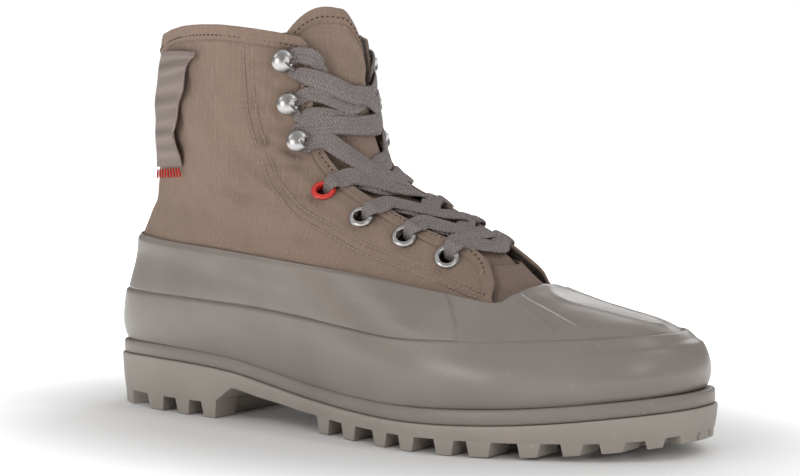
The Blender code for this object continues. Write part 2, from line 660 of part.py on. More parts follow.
def turned(name, profile, collection, material):
    """A closed profile, down its outer side, turned about Z."""
    count = len(profile)
    mesh = bpy.data.meshes.new(name)
    mesh.from_pydata([(r, 0, z) for r, z in profile], [(i, (i + 1) % count) for i in range(count)], [])
    obj = bpy.data.objects.new(name, mesh)
    collection.objects.link(obj)
    mesh.materials.append(material)
    screw = obj.modifiers.new("turn", "SCREW")
    screw.steps = screw.render_steps = TURN_STEPS
    screw.use_merge_vertices = True
    screw.merge_threshold = 0.00001
    screw.use_smooth_shade = True
    return obj


def make_hardware(parts):
    steel = new_material("steel", 1.0, 0.2)
    red = new_material("red", 0.0, 0.35)
    barrel = EYELET_HOLE + EYELET_WALL
    ring = ((EYELET_HOLE + EYELET_CROWN, EYELET_RISE), (EYELET_RADIUS, SEAT_GAP + EYELET_EDGE),
            (EYELET_RADIUS, SEAT_GAP), (barrel, SEAT_GAP), (barrel, -CANVAS_WALL - CLEARANCE),
            (EYELET_HOLE, -CANVAS_WALL - CLEARANCE), (EYELET_HOLE, EYELET_RISE - EYELET_EDGE))
    for side, word in ((1, "lateral"), (-1, "medial")):
        for row, (around, rise, kind) in enumerate(HARDWARE):
            if kind == "eyelet":
                finish = red if row == RED_ROW else steel
                piece = turned(f"eyelet_{word}_{row + 1}", ring, parts, finish)
            else:
                piece = make_hook(f"hook_{word}_{row - RED_ROW}", parts, steel)
            piece.matrix_world = seat(side * around, rise)


def make_hook(name, parts, material):
    """A lace hook: a round foot, a neck and a domed head."""
    profile = ((0, HOOK_RISE), (0.55 * HOOK_HEAD, 0.94 * HOOK_RISE), (HOOK_HEAD, HOOK_NECK + HOOK_LIP),
               (HOOK_HEAD, HOOK_NECK), (HOOK_STEM, HOOK_NECK - HOOK_LIP / 2),
               (HOOK_STEM, SEAT_GAP + 2 * HOOK_FOOT), (HOOK_BASE, SEAT_GAP + HOOK_FOOT),
               (HOOK_BASE, SEAT_GAP), (0, SEAT_GAP))
    return turned(name, profile, parts, material)


def ribbon(path, normals, width, wall):
    """Points and faces of a flat band along a path, its flat side facing the normals."""
    path = np.asarray(path)
    ahead = np.gradient(path, axis=0)
    across = np.cross(normals, ahead)
    across *= width / 2 / np.linalg.norm(across, axis=1, keepdims=True)
    thick = normals * wall / 2
    corners = (-across - thick, across - thick, across + thick, thick - across)
    rings = np.stack([path + corner for corner in corners], 1)
    count = len(path)
    faces = [(3, 2, 1, 0), tuple(range(4 * count - 4, 4 * count))]
    for i in range(count - 1):
        for j in range(4):
            k = (j + 1) % 4
            faces.append((4 * i + j, 4 * i + k, 4 * i + 4 + k, 4 * i + 4 + j))
    return rings.reshape(-1, 3), faces


def tongue_lift(rise):
    return table_curve(TONGUE, rise, 2) * MM


def strand(start, end, end_over, stack):
    """A lace's run from one place to another across the throat, as a path and its normals."""
    share = np.linspace(0, 1, LACE_STEPS)
    around = start[0] + share * (end[0] - start[0])
    rise = start[1] + share * (end[1] - start[1])
    gap = gap_at(rise)
    middle = np.maximum(LACE_LOWEST, tongue_lift(rise) + LACE_OVER_TONGUE) + stack
    last = LACE_OVER if end_over else LACE_UNDER
    edge = np.where(share < 0.5, LACE_OVER, last)
    inside = np.clip(1 - np.abs(around) / gap, 0, 1)
    out = edge + (middle - edge) * inside
    return skin(around, rise, out), normal_at(around, rise)


def trimmed(start, end, distance):
    """The place on the way from start to end that lies this far from start."""
    apart = np.linalg.norm(skin(start[0], start[1]) - skin(end[0], end[1]))
    share = distance / apart
    return start[0] + share * (end[0] - start[0]), start[1] + share * (end[1] - start[1])


def make_laces(parts, cutters):
    """The straight bar at the bottom, and the crossings between neighbouring rows."""
    material = new_material("laces", roughness=0.95)
    away = {"eyelet": EYELET_RADIUS + LACE_END_GAP, "hook": HOOK_BASE + LACE_END_GAP}
    around, rise, kind = HARDWARE[0]
    ends = [trimmed((side * around, rise), (-side * around, rise), away[kind]) for side in (1, -1)]
    bar = strand(ends[0], ends[1], True, BAR_STACK)
    mesh_object("lace_bar", *ribbon(*bar, LACE_WIDTH, LACE_WALL), parts, material)
    for row in range(1, len(HARDWARE)):
        around, rise, kind = HARDWARE[row]
        low = HARDWARE[row - 1][1]
        landing = low + LACE_LANDING[kind] * (rise - low)
        target = float(min(gap_at(landing), gap_at(landing - rise_share(LACE_WIDTH / 2)))
                       - arc_share(LACE_EDGE_GAP, landing))
        made = []
        for side, stack, higher in ((1, 0.0, 0.0), (-1, LACE_STACK, LACE_STAGGER)):
            finish = (-side * target, landing + rise_share(higher))
            start = trimmed((side * around, rise), finish, away[kind])
            made.append(ribbon(*strand(start, finish, False, stack), LACE_WIDTH, LACE_WALL))
        cross = mesh_object(f"lace_cross_{row}", *made[0], parts, material)
        combine(cross, mesh_object(f"lace_strand_{row}", *made[1], cutters), "UNION")
        cross.modifiers.new("weld", "WELD").merge_threshold = 0.00003


def make_tongue(parts):
    rises = np.array([row[0] for row in TONGUE])
    shares = np.linspace(-1, 1, 11)
    half = np.array([row[1] for row in TONGUE]) * BALL_WIDTH
    across = shares * arc_share(half, np.minimum(rises, 1))[:, None]
    arc = np.abs(shares) * half[:, None]
    middle = np.clip(1 - (arc / TONGUE_MIDDLE) ** 2, 0, 1) ** 1.5
    lift = TONGUE_EDGE_LIFT + (tongue_lift(rises)[:, None] - TONGUE_EDGE_LIFT) * middle
    lean = smoothstep(0, TONGUE_LEAN, -shares * half[:, None])
    lift -= TONGUE_SET_BACK * smoothstep(TONGUE_DROP_START, 1, rises)[:, None] * lean
    drop = TONGUE_DROP * smoothstep(TONGUE_DROP_START, rises[-1], rises)[:, None]
    rise = rises[:, None] - drop * np.abs(shares) ** TONGUE_CORNER
    tongue = mesh_object("tongue", skin(across, rise, lift), grid_faces(*rise.shape, False), parts,
                         new_material("tongue", roughness=0.9))
    thicken(tongue, TONGUE_WALL)


def make_tab(parts):
    shares = np.linspace(0, 1, 5)
    front, front_rise, back, back_rise, lift = (np.array(column)[:, None] for column in zip(*TAB))
    around = front + (back - front) * shares
    rise = front_rise + (back_rise - front_rise) * shares
    tab = mesh_object("pull_tab", skin(around, rise, lift * MM), grid_faces(*rise.shape, False), parts,
                      new_material("pull_tab", roughness=0.9))
    thicken(tab, TAB_WALL)


def centre_on_floor(parts):
    """Moves every part so that the boot's box is centred on the origin and stands on z 0."""
    bpy.context.view_layer.update()
    graph = bpy.context.evaluated_depsgraph_get()
    corners = []
    for obj in parts.objects:
        found = obj.evaluated_get(graph)
        mesh = found.to_mesh()
        points = np.empty(len(mesh.vertices) * 3, np.float32)
        mesh.vertices.foreach_get("co", points)
        world = np.array(found.matrix_world)
        points = points.reshape(-1, 3) @ world[:3, :3].T + world[:3, 3]
        corners += [points.min(axis=0), points.max(axis=0)]
        found.to_mesh_clear()
    low = np.min(corners, axis=0)
    high = np.max(corners, axis=0)
    shift = Vector((-(low[0] + high[0]) / 2, -(low[1] + high[1]) / 2, -low[2]))
    for obj in bpy.data.objects:
        obj.location = obj.location + shift


def main():
    for obj in list(bpy.data.objects):
        bpy.data.objects.remove(obj, do_unlink=True)
    parts = bpy.data.collections.new("high_top_boot")
    cutters = bpy.data.collections.new("cutters")
    bpy.context.scene.collection.children.link(parts)
    bpy.context.scene.collection.children.link(cutters)
    make_outsole(parts, cutters)
    make_midsole(parts)
    make_insole(parts)
    make_upper(parts, cutters)
    make_shell(parts)
    make_tongue(parts)
    make_tab(parts)
    make_hardware(parts)
    make_laces(parts, cutters)
    centre_on_floor(parts)


main()
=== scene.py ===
import math

import bpy
import numpy as np
from mathutils import Matrix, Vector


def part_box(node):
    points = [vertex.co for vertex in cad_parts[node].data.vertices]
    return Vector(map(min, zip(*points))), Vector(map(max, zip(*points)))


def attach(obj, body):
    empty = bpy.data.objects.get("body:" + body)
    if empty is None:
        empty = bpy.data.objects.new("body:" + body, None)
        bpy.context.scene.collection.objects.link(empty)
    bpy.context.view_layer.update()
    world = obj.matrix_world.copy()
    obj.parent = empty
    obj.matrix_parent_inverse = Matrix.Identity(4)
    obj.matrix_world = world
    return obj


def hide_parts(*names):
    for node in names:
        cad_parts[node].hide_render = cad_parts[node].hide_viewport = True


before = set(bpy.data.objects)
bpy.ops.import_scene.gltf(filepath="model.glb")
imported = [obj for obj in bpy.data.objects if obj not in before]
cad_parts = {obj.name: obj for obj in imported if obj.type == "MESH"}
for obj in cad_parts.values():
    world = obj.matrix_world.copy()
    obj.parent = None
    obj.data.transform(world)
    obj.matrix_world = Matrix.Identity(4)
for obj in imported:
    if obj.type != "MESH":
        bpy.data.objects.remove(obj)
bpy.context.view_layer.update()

MM = 0.001

# Sizes of the boot, its lengths in metres, as in the part's source
SOLE_LENGTH = 300 * MM
BALL_WIDTH = 107 * MM
HEEL_SEAT = 29 * MM
COLLAR_RISE = 140 * MM
BEAD_HEIGHT = 6.1 * MM
FEATHER_GAP = 0.45 * MM
CANVAS_WALL = 1.5 * MM
THROAT_BASE = 0.535
TOE_SPRING = 6.6 * MM
SPRING_START = 0.72
HEEL_BREAST = 0.262
LACE_WIDTH = 8.5 * MM
LACE_WALL = 1.2 * MM

# The last's sections: rise, back, back rise, front, front rise, sole shape, crown, widths at heel, waist, ball
# and toe, roundness of back and front, lean. Lengths are shares of the sole's, rises of the collar's.
SECTIONS = (
    (0.000, 0.017, 0.000, 0.970, 0.000, 1.00, 0.000, 0.322, 0.271, 0.449, 0.435, 3.0, 2.40, 0.065),
    (0.083, 0.013, 0.061, 0.978, 0.057, 0.95, 0.000, 0.339, 0.308, 0.469, 0.449, 3.0, 2.35, 0.065),
    (0.167, 0.017, 0.132, 0.966, 0.121, 0.85, 0.000, 0.341, 0.332, 0.467, 0.430, 3.0, 2.30, 0.065),
    (0.250, 0.027, 0.203, 0.932, 0.180, 0.70, 0.000, 0.336, 0.341, 0.439, 0.402, 3.0, 2.25, 0.056),
    (0.333, 0.037, 0.280, 0.877, 0.222, 0.55, 0.000, 0.327, 0.341, 0.411, 0.374, 2.9, 2.20, 0.047),
    (0.417, 0.043, 0.351, 0.810, 0.268, 0.40, 0.000, 0.318, 0.336, 0.383, 0.346, 2.9, 2.20, 0.037),
    (0.500, 0.058, 0.422, 0.757, 0.317, 0.20, 0.000, 0.308, 0.336, 0.360, 0.327, 2.8, 2.15, 0.019),
    (0.583, 0.072, 0.499, 0.690, 0.436, 0.10, 0.000, 0.299, 0.336, 0.346, 0.318, 2.7, 2.10, 0.009),
    (0.667, 0.078, 0.585, 0.610, 0.518, 0.00, 0.000, 0.299, 0.341, 0.336, 0.299, 2.6, 2.10, 0.000),
    (0.750, 0.082, 0.677, 0.520, 0.601, 0.00, 0.000, 0.299, 0.346, 0.332, 0.290, 2.5, 2.10, 0.000),
    (0.833, 0.084, 0.784, 0.478, 0.710, 0.00, 0.007, 0.304, 0.350, 0.336, 0.290, 2.5, 2.10, 0.000),
    (0.917, 0.090, 0.884, 0.460, 0.853, 0.00, 0.029, 0.308, 0.355, 0.341, 0.290, 2.4, 2.10, 0.000),
    (1.000, 0.097, 0.970, 0.450, 1.011, 0.00, 0.064, 0.313, 0.360, 0.346, 0.290, 2.4, 2.10, 0.000),
)
WIDTH_STATIONS = (0, 0.14, 0.42, 0.70, 0.90, 1)
SECTION_POINTS = 721

# Along the sole: height of the outsole's top and of its lugs' roots, as shares of the heel seat's height
SOLE_TOP = ((0, 0.793), (0.12, 0.824), (0.28, 0.755), (0.45, 0.483), (0.62, 0.400), (0.80, 0.445),
            (1, 0.666))
SOLE_ROOT = ((0, 0.225), (HEEL_BREAST, 0.235), (0.300, 0.500), (0.35, 0.405), (0.44, 0.280), (0.52, 0.222),
             (0.64, 0.207), (0.80, 0.217), (0.90, 0.240), (0.95, 0.272), (1, 0.345))
# Along the sole: half width and sway of its outline, as shares of the ball's width
OUTLINE = ((0, 0.368, 0), (0.13, 0.368, 0), (0.42, 0.319, -0.035), (0.70, 0.501, -0.009),
           (0.88, 0.492, 0.035), (1, 0.472, 0.069))
HEEL_ROUND = 3.1
TOE_ROUND = 2.35
OUTLINE_POINTS, WALL_POINTS = 400, 260

# Lines on the last as (around, rise). The medial side mirrors the lateral one.
SHELL_TOP = ((0, 0.497), (0.022, 0.483), (0.045, 0.445), (0.078, 0.392), (0.103, 0.425), (0.133, 0.453),
             (0.170, 0.472), (0.215, 0.474), (0.268, 0.463), (0.327, 0.443), (0.388, 0.427), (0.5, 0.422))
BAND_TOP = ((0, 0.205), (0.05, 0.212), (0.125, 0.217), (0.185, 0.222), (0.225, 0.240), (0.265, 0.248),
            (0.300, 0.240), (0.347, 0.217), (0.395, 0.207), (0.5, 0.207))
# The throat's edge as (rise, around)
THROAT = ((0, 0.078), (0.392, 0.076), (0.45, 0.060), (0.52, 0.038), (0.553, 0.031), (0.575, 0.035),
          (0.60, 0.053), (0.64, 0.063), (0.70, 0.071), (0.773, 0.074), (0.80, 0.079), (0.897, 0.086),
          (1, 0.069))
HARDWARE = ((0.067, 0.550, "eyelet"), (0.093, 0.587, "eyelet"), (0.118, 0.633, "eyelet"),
            (0.125, 0.707, "eyelet"), (0.115, 0.823, "hook"), (0.120, 0.890, "hook"),
            (0.123, 0.957, "hook"))
RED_ROW = 3
EYESTAY_SEAM = ((0.177, 0.972), (0.178, 0.883), (0.173, 0.817), (0.175, 0.757), (0.190, 0.693),
                (0.193, 0.623), (0.173, 0.583), (0.145, 0.547), (0.107, 0.523), (0.083, 0.490),
                (0.073, 0.443))

# Edge lugs of one side by length from the heel's back, as shares of half the outline
LUGS = ((0.035, 0.100), (0.150, 0.180), (0.212, 0.232), (0.261, 0.281), (0.468, 0.486), (0.518, 0.539),
        (0.579, 0.597), (0.623, 0.640), (0.674, 0.693), (0.715, 0.738), (0.775, 0.795), (0.824, 0.843),
        (0.867, 0.890), (0.918, 0.936), (0.960, 0.982))
TOE_LUG_START = 0.988
# Cross lugs of the tread's middle: share along and half width as a share of the ball's width
CENTRE_LUGS = ((0.06, 0.05), (0.15, 0.09), (0.242, 0.22), (0.52, 0.13), (0.60, 0.16), (0.68, 0.18),
               (0.76, 0.18), (0.84, 0.16), (0.92, 0.10))
LUG_FOOT_FLARE = 1.6 * MM

# The tongue by rise: half width as a share of the ball's width, and how far its middle stands out in mm
TONGUE = ((0.440, 0.20, -3.9), (0.500, 0.21, -3.9), (0.545, 0.22, -3.6), (0.590, 0.24, -2.9),
          (0.640, 0.26, -2.6), (0.690, 0.28, -2.6), (0.740, 0.29, -2.5), (0.790, 0.30, -1.9),
          (0.840, 0.31, -1.4), (0.890, 0.32, -1.1), (0.940, 0.33, -0.2), (0.990, 0.34, 1.0),
          (1.030, 0.34, 0.6), (1.050, 0.33, -0.2), (1.060, 0.32, -0.8))
# In mm: how far beside the middle the top edge is highest, and how far its medial side leans back
TONGUE_PEAK = 10.7
TONGUE_SET_BACK = 3.6
# Distances in mm from the throat's edge, the collar's and the tongue's top: where the folded or bound cloth
# ends, the dent behind it and its row of stitches
FACING_END, FACING_DENT, FACING_STITCH = 4.5, 5.2, 3.1
BINDING_END, BINDING_DENT, BINDING_STITCH = 5.7, 6.5, 4.6
TONGUE_END, TONGUE_DENT, TONGUE_STITCH = 5.6, 6.5, 4.3
SEAM_APART = 2 * MM
# The pull tab from its foot to its top: front edge around and rise, back edge around and rise, height in mm
TAB = ((0.357, 0.697, 0.436, 0.665, 1.7), (0.345, 0.747, 0.425, 0.715, 2.2),
       (0.336, 0.790, 0.412, 0.765, 3.0), (0.318, 0.833, 0.404, 0.805, 2.6),
       (0.300, 0.870, 0.396, 0.845, 3.2), (0.292, 0.910, 0.390, 0.890, 2.8),
       (0.276, 0.938, 0.384, 0.925, 2.8), (0.268, 0.955, 0.380, 0.960, 1.7))
# Length of its cloth from foot to top
TAB_LENGTH = 44 * MM


# ---- Surfaces of the boot ----

RIPPLES = 7

def curve(knots, values, at):
    """A cubic through values at knots. The slope at each knot is the mean of its two neighbours' slopes."""
    knots = np.asarray(knots, float)
    values = np.asarray(values, float).reshape(len(knots), -1)
    step = np.diff(knots)[:, None]
    rise = np.diff(values, axis=0) / step
    inner = (rise[:-1] * step[1:] + rise[1:] * step[:-1]) / (step[1:] + step[:-1])
    slope = np.concatenate([rise[:1], inner, rise[-1:]])
    at = np.asarray(at, float)
    i = np.clip(np.searchsorted(knots, at, side="right") - 1, 0, len(step) - 1)
    h = step[i]
    s = (at - knots[i])[..., None] / h
    found = ((1 + 2 * s) * (1 - s) ** 2 * values[i] + s * (1 - s) ** 2 * h * slope[i]
             + s * s * (3 - 2 * s) * values[i + 1] + s * s * (s - 1) * h * slope[i + 1])
    return found[..., 0] if values.shape[1] == 1 else found


def table_curve(table, at, column=1):
    return curve([row[0] for row in table], [row[column] for row in table], at)


def run_lengths(points):
    """Length along a run of points up to each of them."""
    return np.concatenate([[0], np.cumsum(np.linalg.norm(np.diff(points, axis=0), axis=1))])


def read_run(at, lengths, points):
    """A run of points read at lengths along it."""
    return np.stack([np.interp(at, lengths, points[:, k]) for k in range(points.shape[1])], -1)


def unit(vectors):
    return vectors / np.linalg.norm(vectors, axis=-1, keepdims=True)


def bell(away, wide):
    """A soft bump over a line: e to the minus square of the distance over the half width."""
    return np.exp(-(away / wide) ** 2)


def mirrored(around):
    """The share around on the lateral side that the tables use for a place on either side."""
    around = np.asarray(around) % 1.0
    return np.minimum(around, 1 - around)


def smoothstep(low, high, at):
    s = np.clip((np.asarray(at) - low) / (high - low), 0, 1)
    return s * s * (3 - 2 * s)


def sole_top(along):
    return table_curve(SOLE_TOP, along) * HEEL_SEAT


def feather(along):
    """Height at which the upper meets the sole."""
    return sole_top(along) + BEAD_HEIGHT + FEATHER_GAP


def section(rise):
    """One closed section of the last: two half ovals |x|^p + |y|^p = 1 on a spine from back to front, with
    the half width from the table and the height from the straight spine and the sole's shape."""
    row = curve([r[0] for r in SECTIONS], SECTIONS, rise)
    (_, back, back_rise, front, front_rise, sole_shape, crown, heel, waist, ball, toe, back_power, front_power,
     lean) = row
    turn = np.linspace(0, 2 * math.pi, SECTION_POINTS)
    ahead = np.cos(turn)
    aside = -np.sin(turn)
    power = np.where(ahead > 0, front_power, back_power)
    along = 0.5 + 0.5 * np.sign(ahead) * np.abs(ahead) ** (2 / power)
    side = np.abs(aside) ** (2 / power) * np.sign(aside)
    half = curve(WIDTH_STATIONS, (heel * 0.98, heel, waist, ball, toe, toe * 0.97), along)
    low = max(0.0, 1 - 1.3 * rise)
    ball_at, ball_sway = OUTLINE[3][0], OUTLINE[3][2]
    sway = np.where(along < ball_at, table_curve(OUTLINE, along, 2) * low,
                    (along - ball_at) / (1 - ball_at) * lean + ball_sway * low)
    x = (back + along * (front - back)) * SOLE_LENGTH
    ends = feather(np.array([back, front]))
    straight = ends[0] + (ends[1] - ends[0]) * along
    lift = back_rise + (front_rise - back_rise) * along + crown * 4 * along * (1 - along)
    z = straight + sole_shape * (feather(x / SOLE_LENGTH) - straight) + lift * COLLAR_RISE
    return np.stack([x, (sway + side * half) * BALL_WIDTH, z], -1)


AROUND = np.linspace(0, 1, 577)
RISES = np.linspace(0, 1, 241)


def even_section(rise):
    """A section read at even shares of its length, each side for itself, and its half length."""
    loop = section(rise)
    length = run_lengths(loop)
    back = len(loop) // 2
    share = np.concatenate([0.5 * length[:back] / length[back],
                            0.5 + 0.5 * (length[back:] - length[back]) / (length[-1] - length[back])])
    return read_run(AROUND, share, loop), length[-1] / 2


EVEN = [even_section(rise) for rise in RISES]
LAST_POINTS = np.stack([points for points, _ in EVEN])
HALF_LENGTHS = np.array([half for _, half in EVEN])
WRAPPED = np.concatenate([LAST_POINTS[:, -2:-1], LAST_POINTS, LAST_POINTS[:, 1:2]], axis=1)
LAST_NORMALS = unit(np.cross(np.gradient(LAST_POINTS, axis=0), np.gradient(WRAPPED, axis=1)[:, 1:-1]))


def on_grid(table, around, rise):
    """A table over AROUND and RISES, read between its points."""
    a = (np.asarray(around) % 1.0) * (len(AROUND) - 1)
    b = np.clip(rise, 0, 1) * (len(RISES) - 1)
    i = np.minimum(a.astype(int), len(AROUND) - 2)
    j = np.minimum(b.astype(int), len(RISES) - 2)
    f = (a - i)[..., None]
    g = (b - j)[..., None]
    return ((table[j, i] * (1 - f) + table[j, i + 1] * f) * (1 - g)
            + (table[j + 1, i] * (1 - f) + table[j + 1, i + 1] * f) * g)


def normal_at(around, rise):
    """The last's outward direction at shares around and rise."""
    return unit(on_grid(LAST_NORMALS, *np.broadcast_arrays(around, rise)))


def skin(around, rise, out=0.0):
    """Points at shares around and rise, moved out of the last. Above the collar it goes straight on."""
    around, rise, out = np.broadcast_arrays(around, rise, out)
    above = np.clip(rise - 1, 0, None)[..., None]
    below = np.full(rise.shape, 0.95)
    upward = (on_grid(LAST_POINTS, around, np.ones(rise.shape)) - on_grid(LAST_POINTS, around, below)) / 0.05
    return on_grid(LAST_POINTS, around, rise) + above * upward + normal_at(around, rise) * out[..., None]


def girth(rise):
    """Length of a whole section."""
    return 2 * np.interp(rise, RISES, HALF_LENGTHS)


def arc_share(length, rise):
    """The share around that a length along the section is."""
    return length / girth(rise)


def gap_at(rise):
    """Share around of the throat's edge, which goes on down as the quarter's front edge."""
    return table_curve(THROAT, rise)


def shell_top(around):
    return table_curve(SHELL_TOP, mirrored(around))


def band_top(around):
    return table_curve(BAND_TOP, mirrored(around))


def outline(grow, count):
    """The sole's outline from the toe's tip round the lateral side: an oval of two powers, moved out by
    grow."""
    along = 0.5 + 0.5 * np.cos(np.linspace(0, math.pi, count))
    power = np.where(along > 0.5, TOE_ROUND, HEEL_ROUND)
    share = np.clip(1 - np.abs(2 * along - 1) ** power, 0, 1) ** (1 / power)
    half = share * (table_curve(OUTLINE, along, 1) * BALL_WIDTH + grow)
    sway = table_curve(OUTLINE, along, 2) * BALL_WIDTH
    x = SOLE_LENGTH / 2 + (along - 0.5) * (SOLE_LENGTH + 2 * grow)
    lateral = np.stack([x, sway - half], -1)
    medial = np.stack([x, sway + half], -1)
    return np.concatenate([lateral, medial[-2:0:-1]])


SOLE_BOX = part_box("outsole")
SOLE_RIM = outline(0.0, OUTLINE_POINTS)
SHIFT = np.array([SOLE_BOX[0][0] - SOLE_RIM[:, 0].min(),
                  (SOLE_BOX[0][1] + SOLE_BOX[1][1] - SOLE_RIM[:, 1].min() - SOLE_RIM[:, 1].max()) / 2, 0.0])


def path_distance(points, path):
    """Distance of every point from a path of many points: the least over its stretches."""
    flat = points.reshape(-1, 3)
    start, step = path[:-1], np.diff(path, axis=0)
    best = np.full(len(flat), 1e9)
    for chunk in np.array_split(np.arange(len(flat)), max(1, len(flat) // 4000)):
        away = flat[chunk, None] - start[None]
        share = np.clip((away * step).sum(-1) / (step ** 2).sum(-1), 0, 1)
        best[chunk] = np.sqrt(((away - share[..., None] * step) ** 2).sum(-1)).min(axis=1)
    return best.reshape(points.shape[:-1])


def ripple(around, rise, seed, size):
    """Soft unevenness: a sum of sine waves in random directions, about size in height."""
    random = np.random.default_rng(seed)
    total = 0
    for _ in range(RIPPLES):
        turn, phase = random.uniform(0, 2 * math.pi, 2)
        pace = random.uniform(15, 60)
        total = total + np.sin(pace * (3.0 * around * math.cos(turn) + rise * math.sin(turn)) + phase)
    return size * total / math.sqrt(RIPPLES)


# ---- Meshes ----

def into_scene(name, data):
    obj = bpy.data.objects.new(name, data)
    bpy.context.scene.collection.objects.link(obj)
    return obj


def add_mesh(name, points, faces, uv=None):
    """A smooth mesh from points, faces and one uv pair for each face corner, moved into the frame."""
    mesh = bpy.data.meshes.new(name)
    mesh.from_pydata((np.reshape(points, (-1, 3)) + SHIFT).tolist(), [], [list(f) for f in faces])
    mesh.polygons.foreach_set("use_smooth", np.ones(len(mesh.polygons), bool))
    if uv is not None:
        mesh.uv_layers.new(name="cloth").data.foreach_set("uv", np.ascontiguousarray(uv, float).ravel())
    mesh.update()
    return into_scene(name, mesh)


def grid_quads(rows, columns, closed):
    """Faces of a grid of points as indices, and the row and column of each of their corners."""
    i, j = np.meshgrid(np.arange(rows - 1), np.arange(columns if closed else columns - 1), indexing="ij")
    k = (j + 1) % columns
    quads = np.stack([i * columns + j, (i + 1) * columns + j, (i + 1) * columns + k, i * columns + k], -1)
    corners = np.stack([np.stack([i, j], -1), np.stack([i + 1, j], -1), np.stack([i + 1, j + 1], -1),
                        np.stack([i, j + 1], -1)], 2)
    return quads.reshape(-1, 4), corners.reshape(-1, 4, 2)


def surface(name, points, uv, closed=False):
    """A grid of points as quads. Where it is closed, uv has one more column than points."""
    quads, corners = grid_quads(points.shape[0], points.shape[1], closed)
    return add_mesh(name, points, quads.tolist(), uv[corners[..., 0], corners[..., 1]])


def signed_volume(points, quads):
    """Six times the volume inside the quads: the sum of their triangles' triple products."""
    a, b, c, d = (points[quads[:, k]] for k in range(4))
    return (np.cross(a, b) * c).sum() + (np.cross(a, c) * d).sum()


def tube(name, rings, across):
    """A capped solid through rings of points. Its uv is across, one for each point of a ring, and the length
    along, both in metres."""
    count, around = rings.shape[:2]
    points = rings.reshape(-1, 3)
    quads, corners = grid_quads(count, around, True)
    caps = [list(range(around)), list(range((count - 1) * around, count * around))[::-1]]
    along = run_lengths(rings.mean(axis=1))
    uv = np.stack(np.meshgrid(np.append(across, across[0]), along), -1)
    loops = uv[corners[..., 0], corners[..., 1]]
    if signed_volume(points, quads) < 0:
        quads, loops = quads[:, ::-1], loops[:, ::-1]
        caps = [cap[::-1] for cap in caps]
    cap_uv = np.zeros((2 * around, 2))
    return add_mesh(name, points, quads.tolist() + caps, np.concatenate([loops.reshape(-1, 2), cap_uv]))


def wall(obj, thickness, shares=None, inner=None):
    """Gives an open surface its wall inwards. shares make it thinner in places, inner is the lining's
    finish."""
    solidify = obj.modifiers.new("wall", "SOLIDIFY")
    solidify.thickness = thickness
    solidify.offset = -1
    if shares is not None:
        group = obj.vertex_groups.new(name="wall")
        levels = np.round(np.ravel(shares), 2)
        for level in np.unique(levels):
            group.add(np.nonzero(levels == level)[0].tolist(), float(level), "REPLACE")
        solidify.vertex_group = "wall"
    if inner is not None:
        obj.data.materials.append(inner)
        solidify.material_offset = 1


def place(obj, material, *nodes, slot=None):
    """Gives the piece its finish, rides it on the boot's one body, and hides the CAD nodes that it stands for.
    """
    if obj.data.materials:
        obj.data.materials[0] = material
    else:
        obj.data.materials.append(material)
    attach(obj, "root")
    if nodes:
        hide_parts(*nodes)


SHARP = math.radians(40)


def slab(name, levels):
    """A solid through closed loops, bottom to top, closed by strips ruled from side to side."""
    count = len(levels[0])
    quads, _ = grid_quads(len(levels), count, True)
    top = (len(levels) - 1) * count
    faces = quads.tolist()
    for k in range(count // 2):
        loop = list(dict.fromkeys((k, (count - k) % count, (count - k - 1) % count, k + 1)))
        faces += [[top + i for i in loop], loop[::-1]]
    obj = add_mesh(name, np.concatenate(levels), faces)
    obj.data.set_sharp_from_angle(angle=SHARP)
    return obj


def level(plan, height):
    """A loop in plan at the heights that a function of the share along gives."""
    return np.column_stack([plan[:, :2], height(plan[:, 0] / SOLE_LENGTH)])


def inset(loop, distance):
    """A loop moved inwards in plan, square to its own run."""
    ahead = unit((np.roll(loop, -1, axis=0) - np.roll(loop, 1, axis=0))[:, :2])
    moved = loop.copy()
    moved[:, 0] += distance * ahead[:, 1]
    moved[:, 1] -= distance * ahead[:, 0]
    return moved


def seat(around, rise):
    """The frame of a place on the last, as rows: along the section, up the shaft, out of the surface, and the
    place itself. The first points to the throat on the lateral side and away from it on the medial one."""
    upward = normal_at(around, rise)
    ahead = skin(around - 0.005, rise) - skin(around + 0.005, rise)
    aside = unit(np.cross(upward, ahead))
    return np.stack([np.cross(aside, upward), aside, upward, skin(around, rise)])


def local(frame_rows, points):
    """Points of a seat's own frame, in the boot's."""
    return np.asarray(points) @ frame_rows[:3] + frame_rows[3]


def ring_piece(name, frame_rows, profile, count=40):
    """A closed profile of radius and height turned once round: a ring without ends."""
    turn = np.linspace(0, 2 * math.pi, count, endpoint=False)[:, None]
    radius, height = np.asarray(profile).T * MM
    points = np.stack([radius * np.cos(turn), radius * np.sin(turn), height + 0 * turn], -1)
    i, j = np.meshgrid(np.arange(count), np.arange(len(radius)), indexing="ij")
    i1, j1 = (i + 1) % count, (j + 1) % len(radius)
    wide = len(radius)
    quads = np.stack([i * wide + j, i1 * wide + j, i1 * wide + j1, i * wide + j1], -1).reshape(-1, 4)
    flat = points.reshape(-1, 3)
    if signed_volume(flat, quads) < 0:
        quads = quads[:, ::-1]
    return add_mesh(name, local(frame_rows, flat), quads.tolist())


